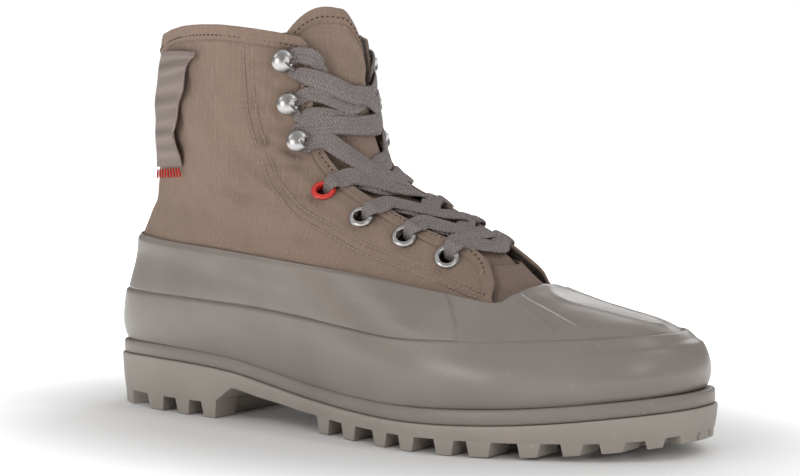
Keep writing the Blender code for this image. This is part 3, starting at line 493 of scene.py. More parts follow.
def dome_piece(name, frame_rows, profile, bite, count=96):
    """A profile from the top's middle to the foot's middle turned once round. bite is the share of its radius
    that stays at each height and turn."""
    turn = np.linspace(0, 2 * math.pi, count, endpoint=False)[None]
    radius, height = (np.asarray(profile).T * MM)[:, 1:-1, None]
    radius = radius * bite(height / MM, turn)
    grid = np.stack([radius * np.cos(turn), radius * np.sin(turn), height + 0 * turn], -1)
    flat = np.concatenate([grid.reshape(-1, 3), [[0, 0, profile[0][1] * MM]], [[0, 0, profile[-1][1] * MM]]])
    quads, _ = grid_quads(grid.shape[0], count, True)
    top, foot = len(flat) - 2, len(flat) - 1
    last = (grid.shape[0] - 1) * count
    rims = [[j, (j + 1) % count, top] for j in range(count)]
    rims += [[last + (j + 1) % count, last + j, foot] for j in range(count)]
    faces = quads.tolist() + rims
    if signed_volume(flat, quads) < 0:
        faces = [face[::-1] for face in faces]
    return add_mesh(name, local(frame_rows, flat), faces)


BAND_PROFILE = np.array([[0, -0.5], [0.14, -0.46], [0.32, -0.48], [0.44, -0.40], [0.5, -0.12], [0.5, 0.12],
                         [0.44, 0.40], [0.32, 0.48], [0.14, 0.46], [0, 0.5], [-0.14, 0.46], [-0.32, 0.48],
                         [-0.44, 0.40], [-0.5, 0.12], [-0.5, -0.12], [-0.44, -0.40], [-0.32, -0.48],
                         [-0.14, -0.46]])


BAND_CROWN = 0.25 * MM


def band(name, stations, steps=10):
    """A flat woven band through stations of point, flat side and width. Its profile, a rounded oblong with a
    slight hollow along each side's middle, is carried along a cubic through the points."""
    points = np.array([s[0] for s in stations])
    sides = np.array([s[1] for s in stations])
    widths = np.array([s[2] for s in stations])
    knots = run_lengths(points)
    last = len(points) - 1
    at = np.interp(np.linspace(0, last, steps * last + 1), np.arange(last + 1), knots)
    path = curve(knots, points, at)
    flat = curve(knots, sides, at)
    wide = curve(knots, widths, at)[:, None, None]
    ahead = unit(np.gradient(path, axis=0))
    flat = unit(flat - (flat * ahead).sum(1, keepdims=True) * ahead)
    across = np.cross(flat, ahead)
    x, y = BAND_PROFILE.T
    bulge = (BAND_CROWN * (0.25 - x ** 2) * 4)[None, :, None]
    rings = (path[:, None] + across[:, None] * x[None, :, None] * wide
             + flat[:, None] * (y[None, :, None] * LACE_WALL + bulge))
    return tube(name, rings, x * LACE_WIDTH)


def stitches(name, runs, pitch, length, radius):
    """Rows of stitches: one short round-ended thread, repeated at an even pitch along each run of points and
    outward sides, its middle a quarter of its radius above the run."""
    ring_at = np.array([-1, -0.82, -0.4, 0.4, 0.82, 1]) * length / 2
    ring_radius = np.array([0.35, 0.8, 1, 1, 0.8, 0.35]) * radius
    turn = np.linspace(0, 2 * math.pi, 6, endpoint=False)
    centres, ahead, sides = [], [], []
    for points, outward in runs:
        run = run_lengths(points)
        at = np.arange(pitch / 2, run[-1], pitch)
        centres.append(read_run(at, run, points))
        ahead.append(read_run(at + 0.6 * MM, run, points) - read_run(at - 0.6 * MM, run, points))
        sides.append(read_run(at, run, outward))
    centres, ahead, sides = (np.concatenate(part) for part in (centres, ahead, sides))
    ahead = unit(ahead)
    across = unit(np.cross(sides, ahead))
    sides = np.cross(ahead, across)
    spokes = across[:, None] * np.cos(turn)[None, :, None] + sides[:, None] * np.sin(turn)[None, :, None]
    points = (centres[:, None, None] + ahead[:, None, None] * ring_at[None, :, None, None]
              + spokes[:, None] * ring_radius[None, :, None, None] + sides[:, None, None] * radius * 0.25)
    quads, corners = grid_quads(6, 6, True)
    if signed_volume(points[0].reshape(-1, 3), quads) < 0:
        quads = quads[:, ::-1]
        caps = [list(range(6))[::-1], list(range(30, 36))]
    else:
        caps = [list(range(6)), list(range(30, 36))[::-1]]
    first = np.arange(len(centres)) * 36
    faces = (quads[None] + first[:, None, None]).reshape(-1, 4).tolist()
    faces += (np.array(caps)[None] + first[:, None, None]).reshape(-1, 6).tolist()
    return add_mesh(name, points, faces)


# ---- Finishes ----

class Field:
    """A number in a finish's node tree. Sums, differences, products and quotients of fields and plain numbers
    add the Math nodes that work them out."""

    def __init__(self, socket):
        self.socket = socket

    def math(self, operation, first, second=0.0):
        tree = self.socket.id_data
        node = tree.nodes.new("ShaderNodeMath")
        node.operation = operation
        for socket, value in zip(node.inputs, (first, second)):
            if isinstance(value, Field):
                tree.links.new(value.socket, socket)
            else:
                socket.default_value = value
        return Field(node.outputs[0])

    def __add__(self, other):
        return self.math("ADD", self, other)

    def __sub__(self, other):
        return self.math("SUBTRACT", self, other)

    def __rsub__(self, other):
        return self.math("SUBTRACT", other, self)

    def __mul__(self, other):
        return self.math("MULTIPLY", self, other)

    def __truediv__(self, other):
        return self.math("DIVIDE", self, other)

    __radd__ = __add__
    __rmul__ = __mul__

    def sine(self):
        return self.math("SINE", self)

    def part(self):
        """What is left after the whole number."""
        return self.math("FRACT", self)

    def size(self):
        return self.math("ABSOLUTE", self)

    def over(self, low, high):
        """A soft step: 0 under low, 1 over high."""
        tree = self.socket.id_data
        node = tree.nodes.new("ShaderNodeMapRange")
        node.interpolation_type = "SMOOTHSTEP"
        tree.links.new(self.socket, node.inputs["Value"])
        for name, value in (("From Min", low), ("From Max", high), ("To Min", 0.0), ("To Max", 1.0)):
            node.inputs[name].default_value = value
        return Field(node.outputs["Result"])


class Finish:
    """A material with its nodes."""

    def __init__(self, name, **constants):
        self.material = bpy.data.materials.new(name)
        self.material.use_nodes = True
        self.tree = self.material.node_tree
        self.shader = self.tree.nodes["Principled BSDF"]
        for key, value in constants.items():
            self.shader.inputs[key.replace("_", " ")].default_value = value
        self.spots = self.node("ShaderNodeTexCoord")

    def node(self, kind, settings=None, inputs=None):
        made = self.tree.nodes.new(kind)
        for key, value in (settings or {}).items():
            setattr(made, key, value)
        for key, value in (inputs or {}).items():
            self.put(made.inputs[key], value)
        return made

    def put(self, socket, value):
        if isinstance(value, Field):
            self.tree.links.new(value.socket, socket)
        elif isinstance(value, bpy.types.NodeSocket):
            self.tree.links.new(value, socket)
        else:
            socket.default_value = value

    def cloth(self):
        """The piece's own two directions in millimetres, as fields."""
        uv = self.node("ShaderNodeUVMap", {"uv_map": "cloth"})
        split = self.node("ShaderNodeSeparateXYZ", None, {"Vector": uv.outputs["UV"]})
        return Field(split.outputs["X"]) * 1000.0, Field(split.outputs["Y"]) * 1000.0

    def vector(self, x, y, z=0.0):
        return self.node("ShaderNodeCombineXYZ", None, {"X": x, "Y": y, "Z": z}).outputs["Vector"]

    def noise(self, scale, detail=2.0, where=None, roughness=0.5):
        where = self.spots.outputs["Object"] if where is None else where
        made = self.node("ShaderNodeTexNoise", None, {"Vector": where, "Scale": scale, "Detail": detail,
                                                     "Roughness": roughness})
        return Field(made.outputs["Fac"])

    def blend(self, share, first, second):
        """A colour between two by share."""
        made = self.node("ShaderNodeMix", {"data_type": "RGBA"})
        for index, value in ((0, share), (6, first), (7, second)):
            self.put(made.inputs[index], value)
        return made.outputs[2]

    def relief(self, height, distance, strength):
        """A bump of height, whose whole is distance in metres."""
        inputs = {"Height": height, "Distance": distance, "Strength": strength}
        return self.node("ShaderNodeBump", None, inputs).outputs["Normal"]

    def finish(self, colour, roughness, normal=None):
        self.put(self.shader.inputs["Base Color"], colour)
        self.put(self.shader.inputs["Roughness"], roughness)
        if normal is not None:
            self.put(self.shader.inputs["Normal"], normal)
        return self.material


def shade(colour, factor):
    """A colour made darker or lighter, with its alpha."""
    return (*[min(1.0, c * factor) for c in colour], 1.0)


# Colours, as shares of red, green and blue in linear light
CANVAS = (0.290, 0.209, 0.161)
RUBBER = (0.250, 0.216, 0.191)
SOLE_RUBBER = (0.368, 0.326, 0.289)
LACE = (0.306, 0.264, 0.254)
TAB_CLOTH = (0.385, 0.312, 0.275)
# Colour of the dark edge stitches: painted shade of the stitch holes, not the thread's own colour
STITCH_HOLE_SHADE = (0.060, 0.042, 0.034)
PALE_THREAD = (0.360, 0.275, 0.215)
LINING = (0.150, 0.118, 0.098)
RED_THREAD = (0.55, 0.03, 0.02)
WEAVE_PITCH = 0.62
WARP_PITCH, WEFT_PITCH = 2.9, 3.6


def canvas_finish(name, colour):
    """Ripstop canvas: a fine plain weave, with pale broken threads every few millimetres up and across, pale
    slubs between them and dark flecks."""
    made = Finish(name, Specular_IOR_Level=0.2, Sheen_Weight=0.06, Sheen_Roughness=0.5)
    x, y = made.cloth()
    wander = made.noise(1.0, 2.0, made.vector(x / 9.0, y / 30.0))
    sag = made.noise(1.0, 2.0, made.vector(x / 30.0, y / 9.0, 7.0))
    warp = ((x / WARP_PITCH + wander * 0.8).part() - 0.5).size()
    weft = ((y / WEFT_PITCH + sag * 0.9).part() - 0.5).size()
    breaks = made.noise(1.0, 3.0, made.vector(x / 2.2, y / 6.5), 0.6)
    weft_breaks = made.noise(1.0, 3.0, made.vector(x / 2.6, y / 1.1, 3.0), 0.65)
    upright = (1 - warp.over(0.04, 0.11)) * breaks.over(0.44, 0.64)
    level_lines = (1 - weft.over(0.03, 0.08)) * weft_breaks.over(0.50, 0.66) * 0.55
    slubs = made.noise(1.0, 3.0, made.vector(x / 0.5, y / 4.5, 11.0)).over(0.58, 0.74) * 0.45
    threads = upright.math("MAXIMUM", upright, level_lines)
    threads = threads.math("MAXIMUM", threads, slubs)
    weave = (x * (2 * math.pi / WEAVE_PITCH)).sine() * (y * (2 * math.pi / WEAVE_PITCH)).sine()
    cloud = made.noise(22.0, 4.0)
    grain = made.noise(1500.0, 2.0)
    body = made.blend(cloud.over(0.3, 0.7), shade(colour, 0.92), shade(colour, 1.06))
    body = made.blend(grain.over(0.3, 0.75) * 0.45, body, shade(colour, 0.70))
    flecks = made.noise(1.0, 2.0, made.vector(x / 1.6, y / 0.5, 23.0)).over(0.60, 0.76) * 0.5
    body = made.blend(flecks * 0.5, body, shade(colour, 0.66))
    tone = made.blend(threads * 0.42, body, shade(colour, 1.55))
    height = weave * 0.3 + grain * 0.7 + threads * 0.5
    return made.finish(tone, 0.86 + cloud * 0.08, made.relief(height, 0.00025, 0.8))


def lining_finish():
    made = Finish("lining_knit", Specular_IOR_Level=0.2, Sheen_Weight=0.2)
    grain = made.noise(900.0, 2.0)
    cloud = made.noise(30.0, 3.0)
    tone = made.blend(grain * 0.6 + cloud * 0.4, shade(LINING, 0.7), shade(LINING, 1.25))
    return made.finish(tone, 0.95 - grain * 0.05, made.relief(grain, 0.0004, 0.6))


def rubber_finish(name, colour, rough):
    """Moulded rubber: soft sheen, faint mottling and fine dust in the pores."""
    made = Finish(name, Specular_IOR_Level=0.5)
    cloud = made.noise(28.0, 4.0)
    pores = made.noise(1500.0, 2.0)
    specks = made.noise(420.0, 1.0).over(0.70, 0.76)
    tone = made.blend(cloud.over(0.3, 0.7), shade(colour, 0.93), shade(colour, 1.06))
    tone = made.blend(specks * 0.25, tone, shade(colour, 1.5))
    bumps = made.relief(pores + cloud * 2.0, 0.00006, 0.7)
    return made.finish(tone, rough + cloud * 0.14 + pores * 0.05, bumps)


def woven_finish(name, colour, pitch, slant, ply):
    """A flat woven band: slanted rows of thread that meet in a point along its middle, crossed by its plies."""
    made = Finish(name, Specular_IOR_Level=0.25, Sheen_Weight=0.08)
    x, y = made.cloth()
    fuzz = made.noise(1500.0, 3.0)
    fold = x.size()
    wander = made.noise(260.0, 2.0)
    rows = ((y + fold * slant + fuzz * 0.35 + wander * 0.6) * (2 * math.pi / pitch)).sine()
    strands = (fold * (2 * math.pi / ply)).sine()
    cloud = made.noise(60.0, 3.0)
    height = rows * 0.40 + strands * rows * 0.2 + strands * 0.15 + fuzz * 0.6
    tone = made.blend((rows * 0.26 + strands * 0.10 + 0.5) * 0.62 + fuzz * 0.38, shade(colour, 0.58),
                      shade(colour, 1.28))
    tone = made.blend(cloud.over(0.35, 0.7) * 0.2, tone, shade(colour, 0.8))
    return made.finish(tone, 0.88 + fuzz * 0.08, made.relief(height, 0.0007, 1.0))


def thread_finish(name, colour):
    made = Finish(name, Specular_IOR_Level=0.3)
    fuzz = made.noise(2500.0, 2.0)
    tone = made.blend(fuzz, shade(colour, 0.75), shade(colour, 1.2))
    return made.finish(tone, 0.8 + fuzz * 0.1, made.relief(fuzz, 0.0001, 0.5))


def steel_finish():
    made = Finish("polished_steel", Metallic=1.0)
    cloud = made.noise(400.0, 3.0)
    tone = made.blend(cloud, (0.42, 0.41, 0.405, 1), (0.52, 0.51, 0.50, 1))
    return made.finish(tone, 0.27 + cloud * 0.08, made.relief(cloud, 0.00001, 0.15))


def enamel_finish():
    made = Finish("red_enamel", Coat_Weight=0.3, Coat_Roughness=0.2)
    cloud = made.noise(500.0, 3.0)
    tone = made.blend(cloud, (0.54, 0.018, 0.012, 1), (0.70, 0.030, 0.018, 1))
    return made.finish(tone, 0.25 + cloud * 0.15, made.relief(cloud, 0.00003, 0.5))


def felt_finish():
    made = Finish("insole_felt", Specular_IOR_Level=0.2, Sheen_Weight=0.25)
    grain = made.noise(700.0, 4.0)
    cloud = made.noise(25.0, 3.0)
    tone = made.blend(grain * 0.7 + cloud * 0.3, (0.12, 0.10, 0.085, 1), (0.25, 0.21, 0.175, 1))
    return made.finish(tone, 0.93 + grain * 0.05, made.relief(grain, 0.0005, 0.7))


FINISHES = {
    "canvas": canvas_finish("ripstop_canvas", CANVAS),
    "tongue": canvas_finish("tongue_canvas", CANVAS),
    "vamp": canvas_finish("vamp_cloth", tuple(c * 0.9 for c in CANVAS)),
    "lining": lining_finish(),
    "shell": rubber_finish("shell_rubber_moulded", RUBBER, 0.24),
    "bead": rubber_finish("bead_rubber", RUBBER, 0.32),
    "sole": rubber_finish("tread_rubber", SOLE_RUBBER, 0.46),
    "lace": woven_finish("lace_weave", LACE, 1.6, 0.8, 1.7),
    "tab": woven_finish("grosgrain", TAB_CLOTH, 1.15, 0.0, 6.0),
    # The dark edge stitches' finish: its dark colour is painted shade of the stitch holes
    "thread": thread_finish("stitch_hole_shade", STITCH_HOLE_SHADE),
    "pale_thread": thread_finish("seam_thread", PALE_THREAD),
    "red_thread": thread_finish("red_thread", RED_THREAD),
    "steel": steel_finish(),
    "red": enamel_finish(),
    "felt": felt_finish(),
}


# ---- Canvas ----

# The quarters lap a little over each other at the back.
BACK_SEAM = 0.503
CREASE_GAIN = 1.5
CORNER_DROP, CORNER_SHARE = 0.045, 0.075
EYELET_HOLE = 3.9 * MM
ROWS = np.concatenate([np.linspace(0, 0.36, 14, endpoint=False), np.linspace(0.36, 0.935, 118, endpoint=False),
                       np.linspace(0.935, 1.0, 36)])
# Creases of the canvas: around and rise of both ends, half width and depth in mm. A minus depth is a ridge.
CREASES = (
    (0.118, 0.800, 0.170, 0.822, 2.0, 0.9), (0.112, 0.836, 0.178, 0.795, 1.8, -0.7),
    (0.120, 0.852, 0.150, 0.842, 1.8, 0.6), (0.125, 0.775, 0.165, 0.768, 2.2, 0.6),
    (0.135, 0.888, 0.170, 0.885, 2.4, 0.6), (0.135, 0.905, 0.165, 0.915, 2.0, -0.4),
    (0.140, 0.955, 0.175, 0.948, 2.2, 0.5), (0.095, 0.915, 0.112, 0.900, 1.8, 0.5),
    (0.092, 0.850, 0.108, 0.835, 1.8, 0.5), (0.135, 0.700, 0.180, 0.690, 3.0, 0.7),
    (0.210, 0.640, 0.300, 0.660, 4.0, 0.6), (0.240, 0.615, 0.330, 0.600, 4.5, -0.6),
    (0.200, 0.560, 0.280, 0.535, 4.0, 0.6), (0.300, 0.760, 0.420, 0.735, 5.0, 0.6),
    (0.380, 0.560, 0.490, 0.550, 4.5, 0.6), (0.420, 0.790, 0.490, 0.770, 4.5, 0.5),
    (0.215, 0.780, 0.250, 0.860, 4.0, 0.5), (0.240, 0.880, 0.262, 0.800, 4.0, -0.4),
)


def rise_speed(around, rise):
    """Length up the surface for one whole share of rise."""
    step = 0.02
    high = np.minimum(rise + step / 2, 1)
    return np.linalg.norm(skin(around, high) - skin(around, high - step), axis=-1) / step


def throat_path(side):
    """The throat's edge as a run of points."""
    rise = np.linspace(0.36, 1, 160)
    return skin(side * gap_at(rise), rise)


def seam_path(shift, side):
    """One row of the eyestay's seam, shift away from its middle, and its outward sides."""
    places = np.array(EYESTAY_SEAM)
    knots = np.linspace(0, 1, len(places))
    fine = curve(knots, places, np.linspace(0, 1, 160))
    points = skin(side * fine[:, 0], fine[:, 1])
    outward = normal_at(side * fine[:, 0], fine[:, 1])
    across = unit(np.cross(outward, np.gradient(points, axis=0)))
    return points + across * shift * side, outward


def quarter_relief(around, rise, side):
    """Height of the quarter's canvas over the last: folded facing and collar binding, seams, creases and
    ripples, each a soft step or a bell of the distance from its line."""
    points = skin(around, rise)
    edge = path_distance(points, throat_path(side)) / MM
    height = 0.95 * (1 - smoothstep(FACING_END, FACING_END + 0.4, edge)) - 0.40 * bell(edge - FACING_DENT, 0.5)
    height -= 0.20 * bell(edge - FACING_STITCH, 0.45)
    collar = (1 - rise) * rise_speed(around, np.full_like(rise, 0.97)) / MM
    bound = 1 - smoothstep(BINDING_END, BINDING_END + 0.4, collar)
    height = height * (1 - bound) + 1.0 * bound - 0.6 * bell(collar - BINDING_DENT, 0.5)
    height -= 0.3 * bell(collar - BINDING_STITCH, 0.5) * bound
    for shift in (-SEAM_APART, SEAM_APART):
        height -= 0.30 * bell(path_distance(points, seam_path(shift, side)[0]) / MM, 0.7) * (1 - bound)
    for start_around, start_rise, end_around, end_rise, wide, deep in CREASES:
        ends = skin(np.linspace(start_around, end_around, 7) * side, np.linspace(start_rise, end_rise, 7))
        height -= CREASE_GAIN * deep * bell(path_distance(points, ends) / MM, wide)
    for at_around, at_rise, _ in HARDWARE:
        away = np.linalg.norm(points - skin(side * at_around, at_rise), axis=-1) / MM
        height -= 0.35 * bell(away - 5.8, 1.6)
    if side < 0:
        height += 2.4 * bell(edge, 6.0) * bell(rise - 0.510, 0.040)
    height -= 0.35 * bell((0.5 - mirrored(around)) * girth(rise) / MM, 0.9)
    return height * MM + ripple(around, rise, 5 if side > 0 else 9, 0.38 * MM)


def make_quarter(side, word):
    """A quarter: the last from the throat's edge to the back, raised by its relief above the rubber's edge. Its
    top corner at the throat is rounded, and its eyelets' places are holes."""
    shares = np.concatenate([np.linspace(0, 0.12, 40, endpoint=False), np.linspace(0.12, 1, 165)])[None]
    rise = np.repeat(ROWS[:, None], shares.size, axis=1)
    gap = gap_at(rise)
    around = side * (gap + shares * (BACK_SEAM - gap))
    out = quarter_relief(around, rise, side)
    rise = rise - CORNER_DROP * (1 - smoothstep(0.0, CORNER_SHARE, shares)) ** 2 * smoothstep(0.86, 1.0, rise)
    covered = 1 - smoothstep(-0.004, 0.006, rise - shell_top(around))
    out = out * (1 - covered)
    points = skin(around, rise, out)
    uv = np.stack([(0.5 - np.abs(around)) * girth(rise), points[..., 2]], -1)
    if side < 0:
        points, uv = points[:, ::-1], uv[:, ::-1]
    quads, corners = grid_quads(*rise.shape, False)
    middle = points.reshape(-1, 3)[quads].mean(axis=1)
    keep = np.ones(len(quads), bool)
    for at_around, at_rise, kind in HARDWARE:
        if kind == "eyelet":
            keep &= np.linalg.norm(middle - skin(side * at_around, at_rise), axis=1) > EYELET_HOLE
    loops = uv[corners[..., 0], corners[..., 1]][keep]
    obj = add_mesh(f"quarter_{word}", points, quads[keep].tolist(), loops)
    place(obj, FINISHES["canvas"], "upper", slot="upper")
    wall(obj, CANVAS_WALL, inner=FINISHES["lining"])


def make_vamp():
    """The canvas under the tongue's foot: between the quarters it shows, beside them it goes under."""
    rise = np.repeat(np.linspace(0, THROAT_BASE + 0.012, 70)[:, None], 81, axis=1)
    shares = np.linspace(-1, 1, 81)[None]
    around = shares * (gap_at(rise) + 0.030)
    inside = smoothstep(0.0, 3.0, (gap_at(rise) - np.abs(around)) * girth(rise) / MM)
    out = (-1.95 + 0.75 * inside) * MM + ripple(around, rise, 3, 0.12 * MM)
    uv = np.stack([around * girth(rise), rise * 1.4 * COLLAR_RISE], -1)
    obj = surface("vamp_canvas", skin(around, rise, out), uv)
    place(obj, FINISHES["vamp"], "upper", slot="upper")
    wall(obj, 1.0 * MM, inner=FINISHES["lining"])


def make_tongue():
    """The tongue by width and lift from its table, with a bound top edge that is highest beside the middle,
    and a fold where it leaves the laces. Gives its row of stitches as a run of points and outward sides."""
    rises = np.concatenate([np.linspace(TONGUE[0][0], 1.0, 90, endpoint=False),
                            np.linspace(1.0, TONGUE[-1][0], 40)])
    shares = np.linspace(-1, 1, 97)[None]
    half = table_curve(TONGUE, rises, 1)[:, None] * BALL_WIDTH
    across = shares * half / girth(np.minimum(rises, 1))[:, None]
    arc = np.abs(shares) * half
    middle = np.clip(1 - (arc / (17 * MM)) ** 2, 0, 1) ** 1.5
    lift = -3.4 + (table_curve(TONGUE, rises, 2)[:, None] + 3.4) * middle
    drop = smoothstep(0.92, 1.06, rises)[:, None]
    lean = smoothstep(0.93, 1.0, rises)[:, None] * smoothstep(0, 12 * MM, -shares * half)
    lift = lift - TONGUE_SET_BACK * lean
    beside = shares * half / MM - TONGUE_PEAK
    down = 0.052 * (beside.clip(0, 24) / 22) ** 2 + 0.050 * smoothstep(4.0, 17.0, -beside)
    down = down + 0.026 * ((-beside - 13).clip(0, 24) / 12) ** 2
    rise = rises[:, None] - drop * down
    top = (TONGUE[-1][0] - down - rise) * rise_speed(across, np.ones_like(rise)) / MM
    bound = 1 - smoothstep(TONGUE_END, TONGUE_END + 0.5, top)
    height = lift + 0.8 * bound - 0.55 * bell(top - TONGUE_DENT, 0.5) - 0.3 * bell(top - TONGUE_STITCH, 0.45)
    height = height - 0.9 * bell(top - 17, 3.0) * middle + 0.5 * bell(top - 12, 3.0)
    points = skin(across, rise, height * MM + ripple(across, rise, 12, 0.15 * MM))
    uv = np.stack([shares * half, rises[:, None] * COLLAR_RISE + 0 * shares], -1)
    obj = surface("tongue_panel", points, uv)
    place(obj, FINISHES["tongue"], "tongue", slot="tongue")
    wall(obj, 1.5 * MM, inner=FINISHES["lining"])
    outward = unit(np.cross(np.gradient(points, axis=0), np.gradient(points, axis=1)))
    peak = 62
    stitch = np.argmin(np.abs(top[:, peak] - TONGUE_STITCH))
    run = points[stitch] + outward[stitch] * 0.1 * MM
    return run, outward[stitch]


# ---- Rubber ----

# Height of the rubber over the last in mm, by length from the band's top line and from the shell's top edge
LIP = ((-3.5, 3.45), (-1.3, 3.45), (-0.9, 3.38), (-0.55, 3.2), (-0.25, 2.9), (0, 2.5), (0.18, 2.0), (0.4, 1.82),
       (1.1, 1.92))
RIM = ((-2.4, 1.62), (-1.0, 1.60), (-0.5, 1.50), (-0.2, 1.32), (0, 1.05))
# Soft ridges of the vamp's rubber: points as (around, rise), half width and height in mm
RIDGES = (
    (((0.040, 0.462), (0.050, 0.357), (0.057, 0.250)), 0.7, 0.65),
    (((0.057, 0.417), (0.066, 0.320), (0.075, 0.222)), 0.8, 0.40),
    (((0.002, 0.483), (0.015, 0.420), (0.010, 0.350), (0.007, 0.277), (0.0, 0.243)), 2.2, 0.35),
)
# The raised rear panel's front seam as (rise, around)
PANEL_SEAM = ((0.205, 0.138), (0.22, 0.137), (0.327, 0.123), (0.43, 0.103), (0.48, 0.100))
PANEL_REACH = (0.205, 0.480)


def shell_height(around, rise, line, edge):
    """Height of the rubber over the last, from lengths above the band's top line and above the top edge."""
    mirror = mirrored(around)
    low = rise / np.maximum(band_top(around), 1e-6)
    height = np.interp(line, [row[0] for row in LIP], [row[1] for row in LIP])
    flush = smoothstep(0.040, 0.075, mirror) * (1 - smoothstep(0.150, 0.200, mirror))
    height = height + flush * 0.85 * smoothstep(-0.8, 0.8, line) * (1 - smoothstep(3.0, 14.0, line))
    height = height - 0.30 * smoothstep(1.1, 12.0, line) * (line > 0)
    height = np.where(edge > -2.4, np.interp(edge, [row[0] for row in RIM], [row[1] for row in RIM]), height)
    height = height - 0.45 * (1 - smoothstep(0.0, 0.20, low)) + 0.12 * np.sin(math.pi * np.clip(low, 0, 1))
    behind = (mirror - table_curve(PANEL_SEAM, np.clip(rise, *PANEL_REACH))) * girth(rise) / MM
    above = smoothstep(0.3, 0.8, line) * (1 - smoothstep(-2.2, -1.2, edge))
    height = height + 0.65 * smoothstep(-0.25, 0.25, behind) * above
    front = 1 - smoothstep(0.040, 0.085, mirror)
    height = height + 1.0 * front * (1 - smoothstep(0.160, 0.165, rise)) * smoothstep(0.0, 0.03, rise)
    points = skin(around, rise)
    for places, wide, high in RIDGES:
        fine = curve(np.linspace(0, 1, len(places)), places, np.linspace(0, 1, 40))
        for side in (1, -1):
            away = path_distance(points, skin(side * fine[:, 0], fine[:, 1])) / MM
            height = height + high * bell(away, wide) * above
    return height * MM + ripple(around, rise, 21, 0.06 * MM)


def make_shell():
    """The rubber foot: a grid round the last, its rows closest at the band's lip and at the top edge."""
    fine = np.concatenate([np.linspace(-0.15, 0.15, 200, endpoint=False),
                           np.linspace(0.15, 0.85, 250, endpoint=False)])
    around = fine[None]
    line = band_top(around)
    edge = shell_top(around)
    line_speed = rise_speed(around, line)
    edge_speed = rise_speed(around, edge)
    rows = [line * share - 3.0 * MM / line_speed * share for share in np.linspace(0.01, 1, 22, endpoint=False)]
    rows += [line + d * MM / line_speed for d in
             (-3.0, -2.2, -1.6, -1.2, -0.9, -0.65, -0.45, -0.25, -0.1, 0, 0.08, 0.16, 0.26, 0.4, 0.6, 0.9, 1.2)]
    low = rows[-1]
    high = edge - 2.4 * MM / edge_speed
    rows += [low + share * (high - low) for share in np.linspace(0, 1, 34, endpoint=False)[1:]]
    rows += [edge + d * MM / edge_speed for d in (-2.4, -1.7, -1.1, -0.8, -0.5, -0.3, -0.15, 0)]
    rise = np.concatenate(rows)
    around = np.repeat(around, len(rise), axis=0)
    height = shell_height(around, rise, (rise - line) * line_speed / MM, (rise - edge) * edge_speed / MM)
    thick = height - 0.45 * MM
    points = skin(around, rise, height)
    uv = np.stack([np.repeat(np.append(fine, 0.85)[None], len(rise), axis=0) * 0.6,
                   np.concatenate([rise, rise[:, :1]], axis=1) * COLLAR_RISE], -1)
    obj = surface("shell_rubber", points, uv, closed=True)
    place(obj, FINISHES["shell"], "rubber_shell", slot="rubber_shell")
    wall(obj, float(thick.max()), thick / thick.max())


# ---- Sole ----

def tread(along):
    """Height of the tread's ground face: flat, then up to the toe as a square."""
    return TOE_SPRING * np.clip((np.asarray(along) - SPRING_START) / (1 - SPRING_START), 0, 1) ** 2


def root(along):
    """Height of the lugs' roots."""
    return np.interp(along, [row[0] for row in SOLE_ROOT], [row[1] for row in SOLE_ROOT]) * HEEL_SEAT


def centre_at(x):
    """The outline's middle line in y."""
    return table_curve(OUTLINE, np.clip(x / SOLE_LENGTH, 0, 1), 2) * BALL_WIDTH


def side_edge(start, end, side, grow, widen, count=7):
    """Points of the outline between two shares of its half, from the heel's back."""
    half = outline(grow, OUTLINE_POINTS)[:OUTLINE_POINTS][::-1]
    length = run_lengths(half)
    at = np.linspace(start * length[-1] - widen, end * length[-1] + widen, count)
    outer = read_run(at, length, half)
    if side > 0:
        outer[:, 1] = 2 * centre_at(outer[:, 0]) - outer[:, 1]
        outer = outer[::-1]
    return outer


def lug_foot(along):
    """Height at which a lug runs into the outsole, a little over the roots."""
    return root(along) + 1.8 * MM


def lug_ring(outer, deep, height):
    """A closed ring: an edge's points and the same moved inwards by deep, at heights by share along."""
    middle = np.clip(outer[len(outer) // 2, 0], 0.08 * SOLE_LENGTH, 0.93 * SOLE_LENGTH)
    inward = np.array([middle, centre_at(middle)]) - outer[len(outer) // 2]
    distance = np.linalg.norm(inward)
    inner = outer[::-1] + inward / distance * min(deep, 0.42 * distance)
    ring = np.concatenate([outer, inner])
    return np.column_stack([ring, height(np.clip(ring[:, 0] / SOLE_LENGTH, 0, 1))])


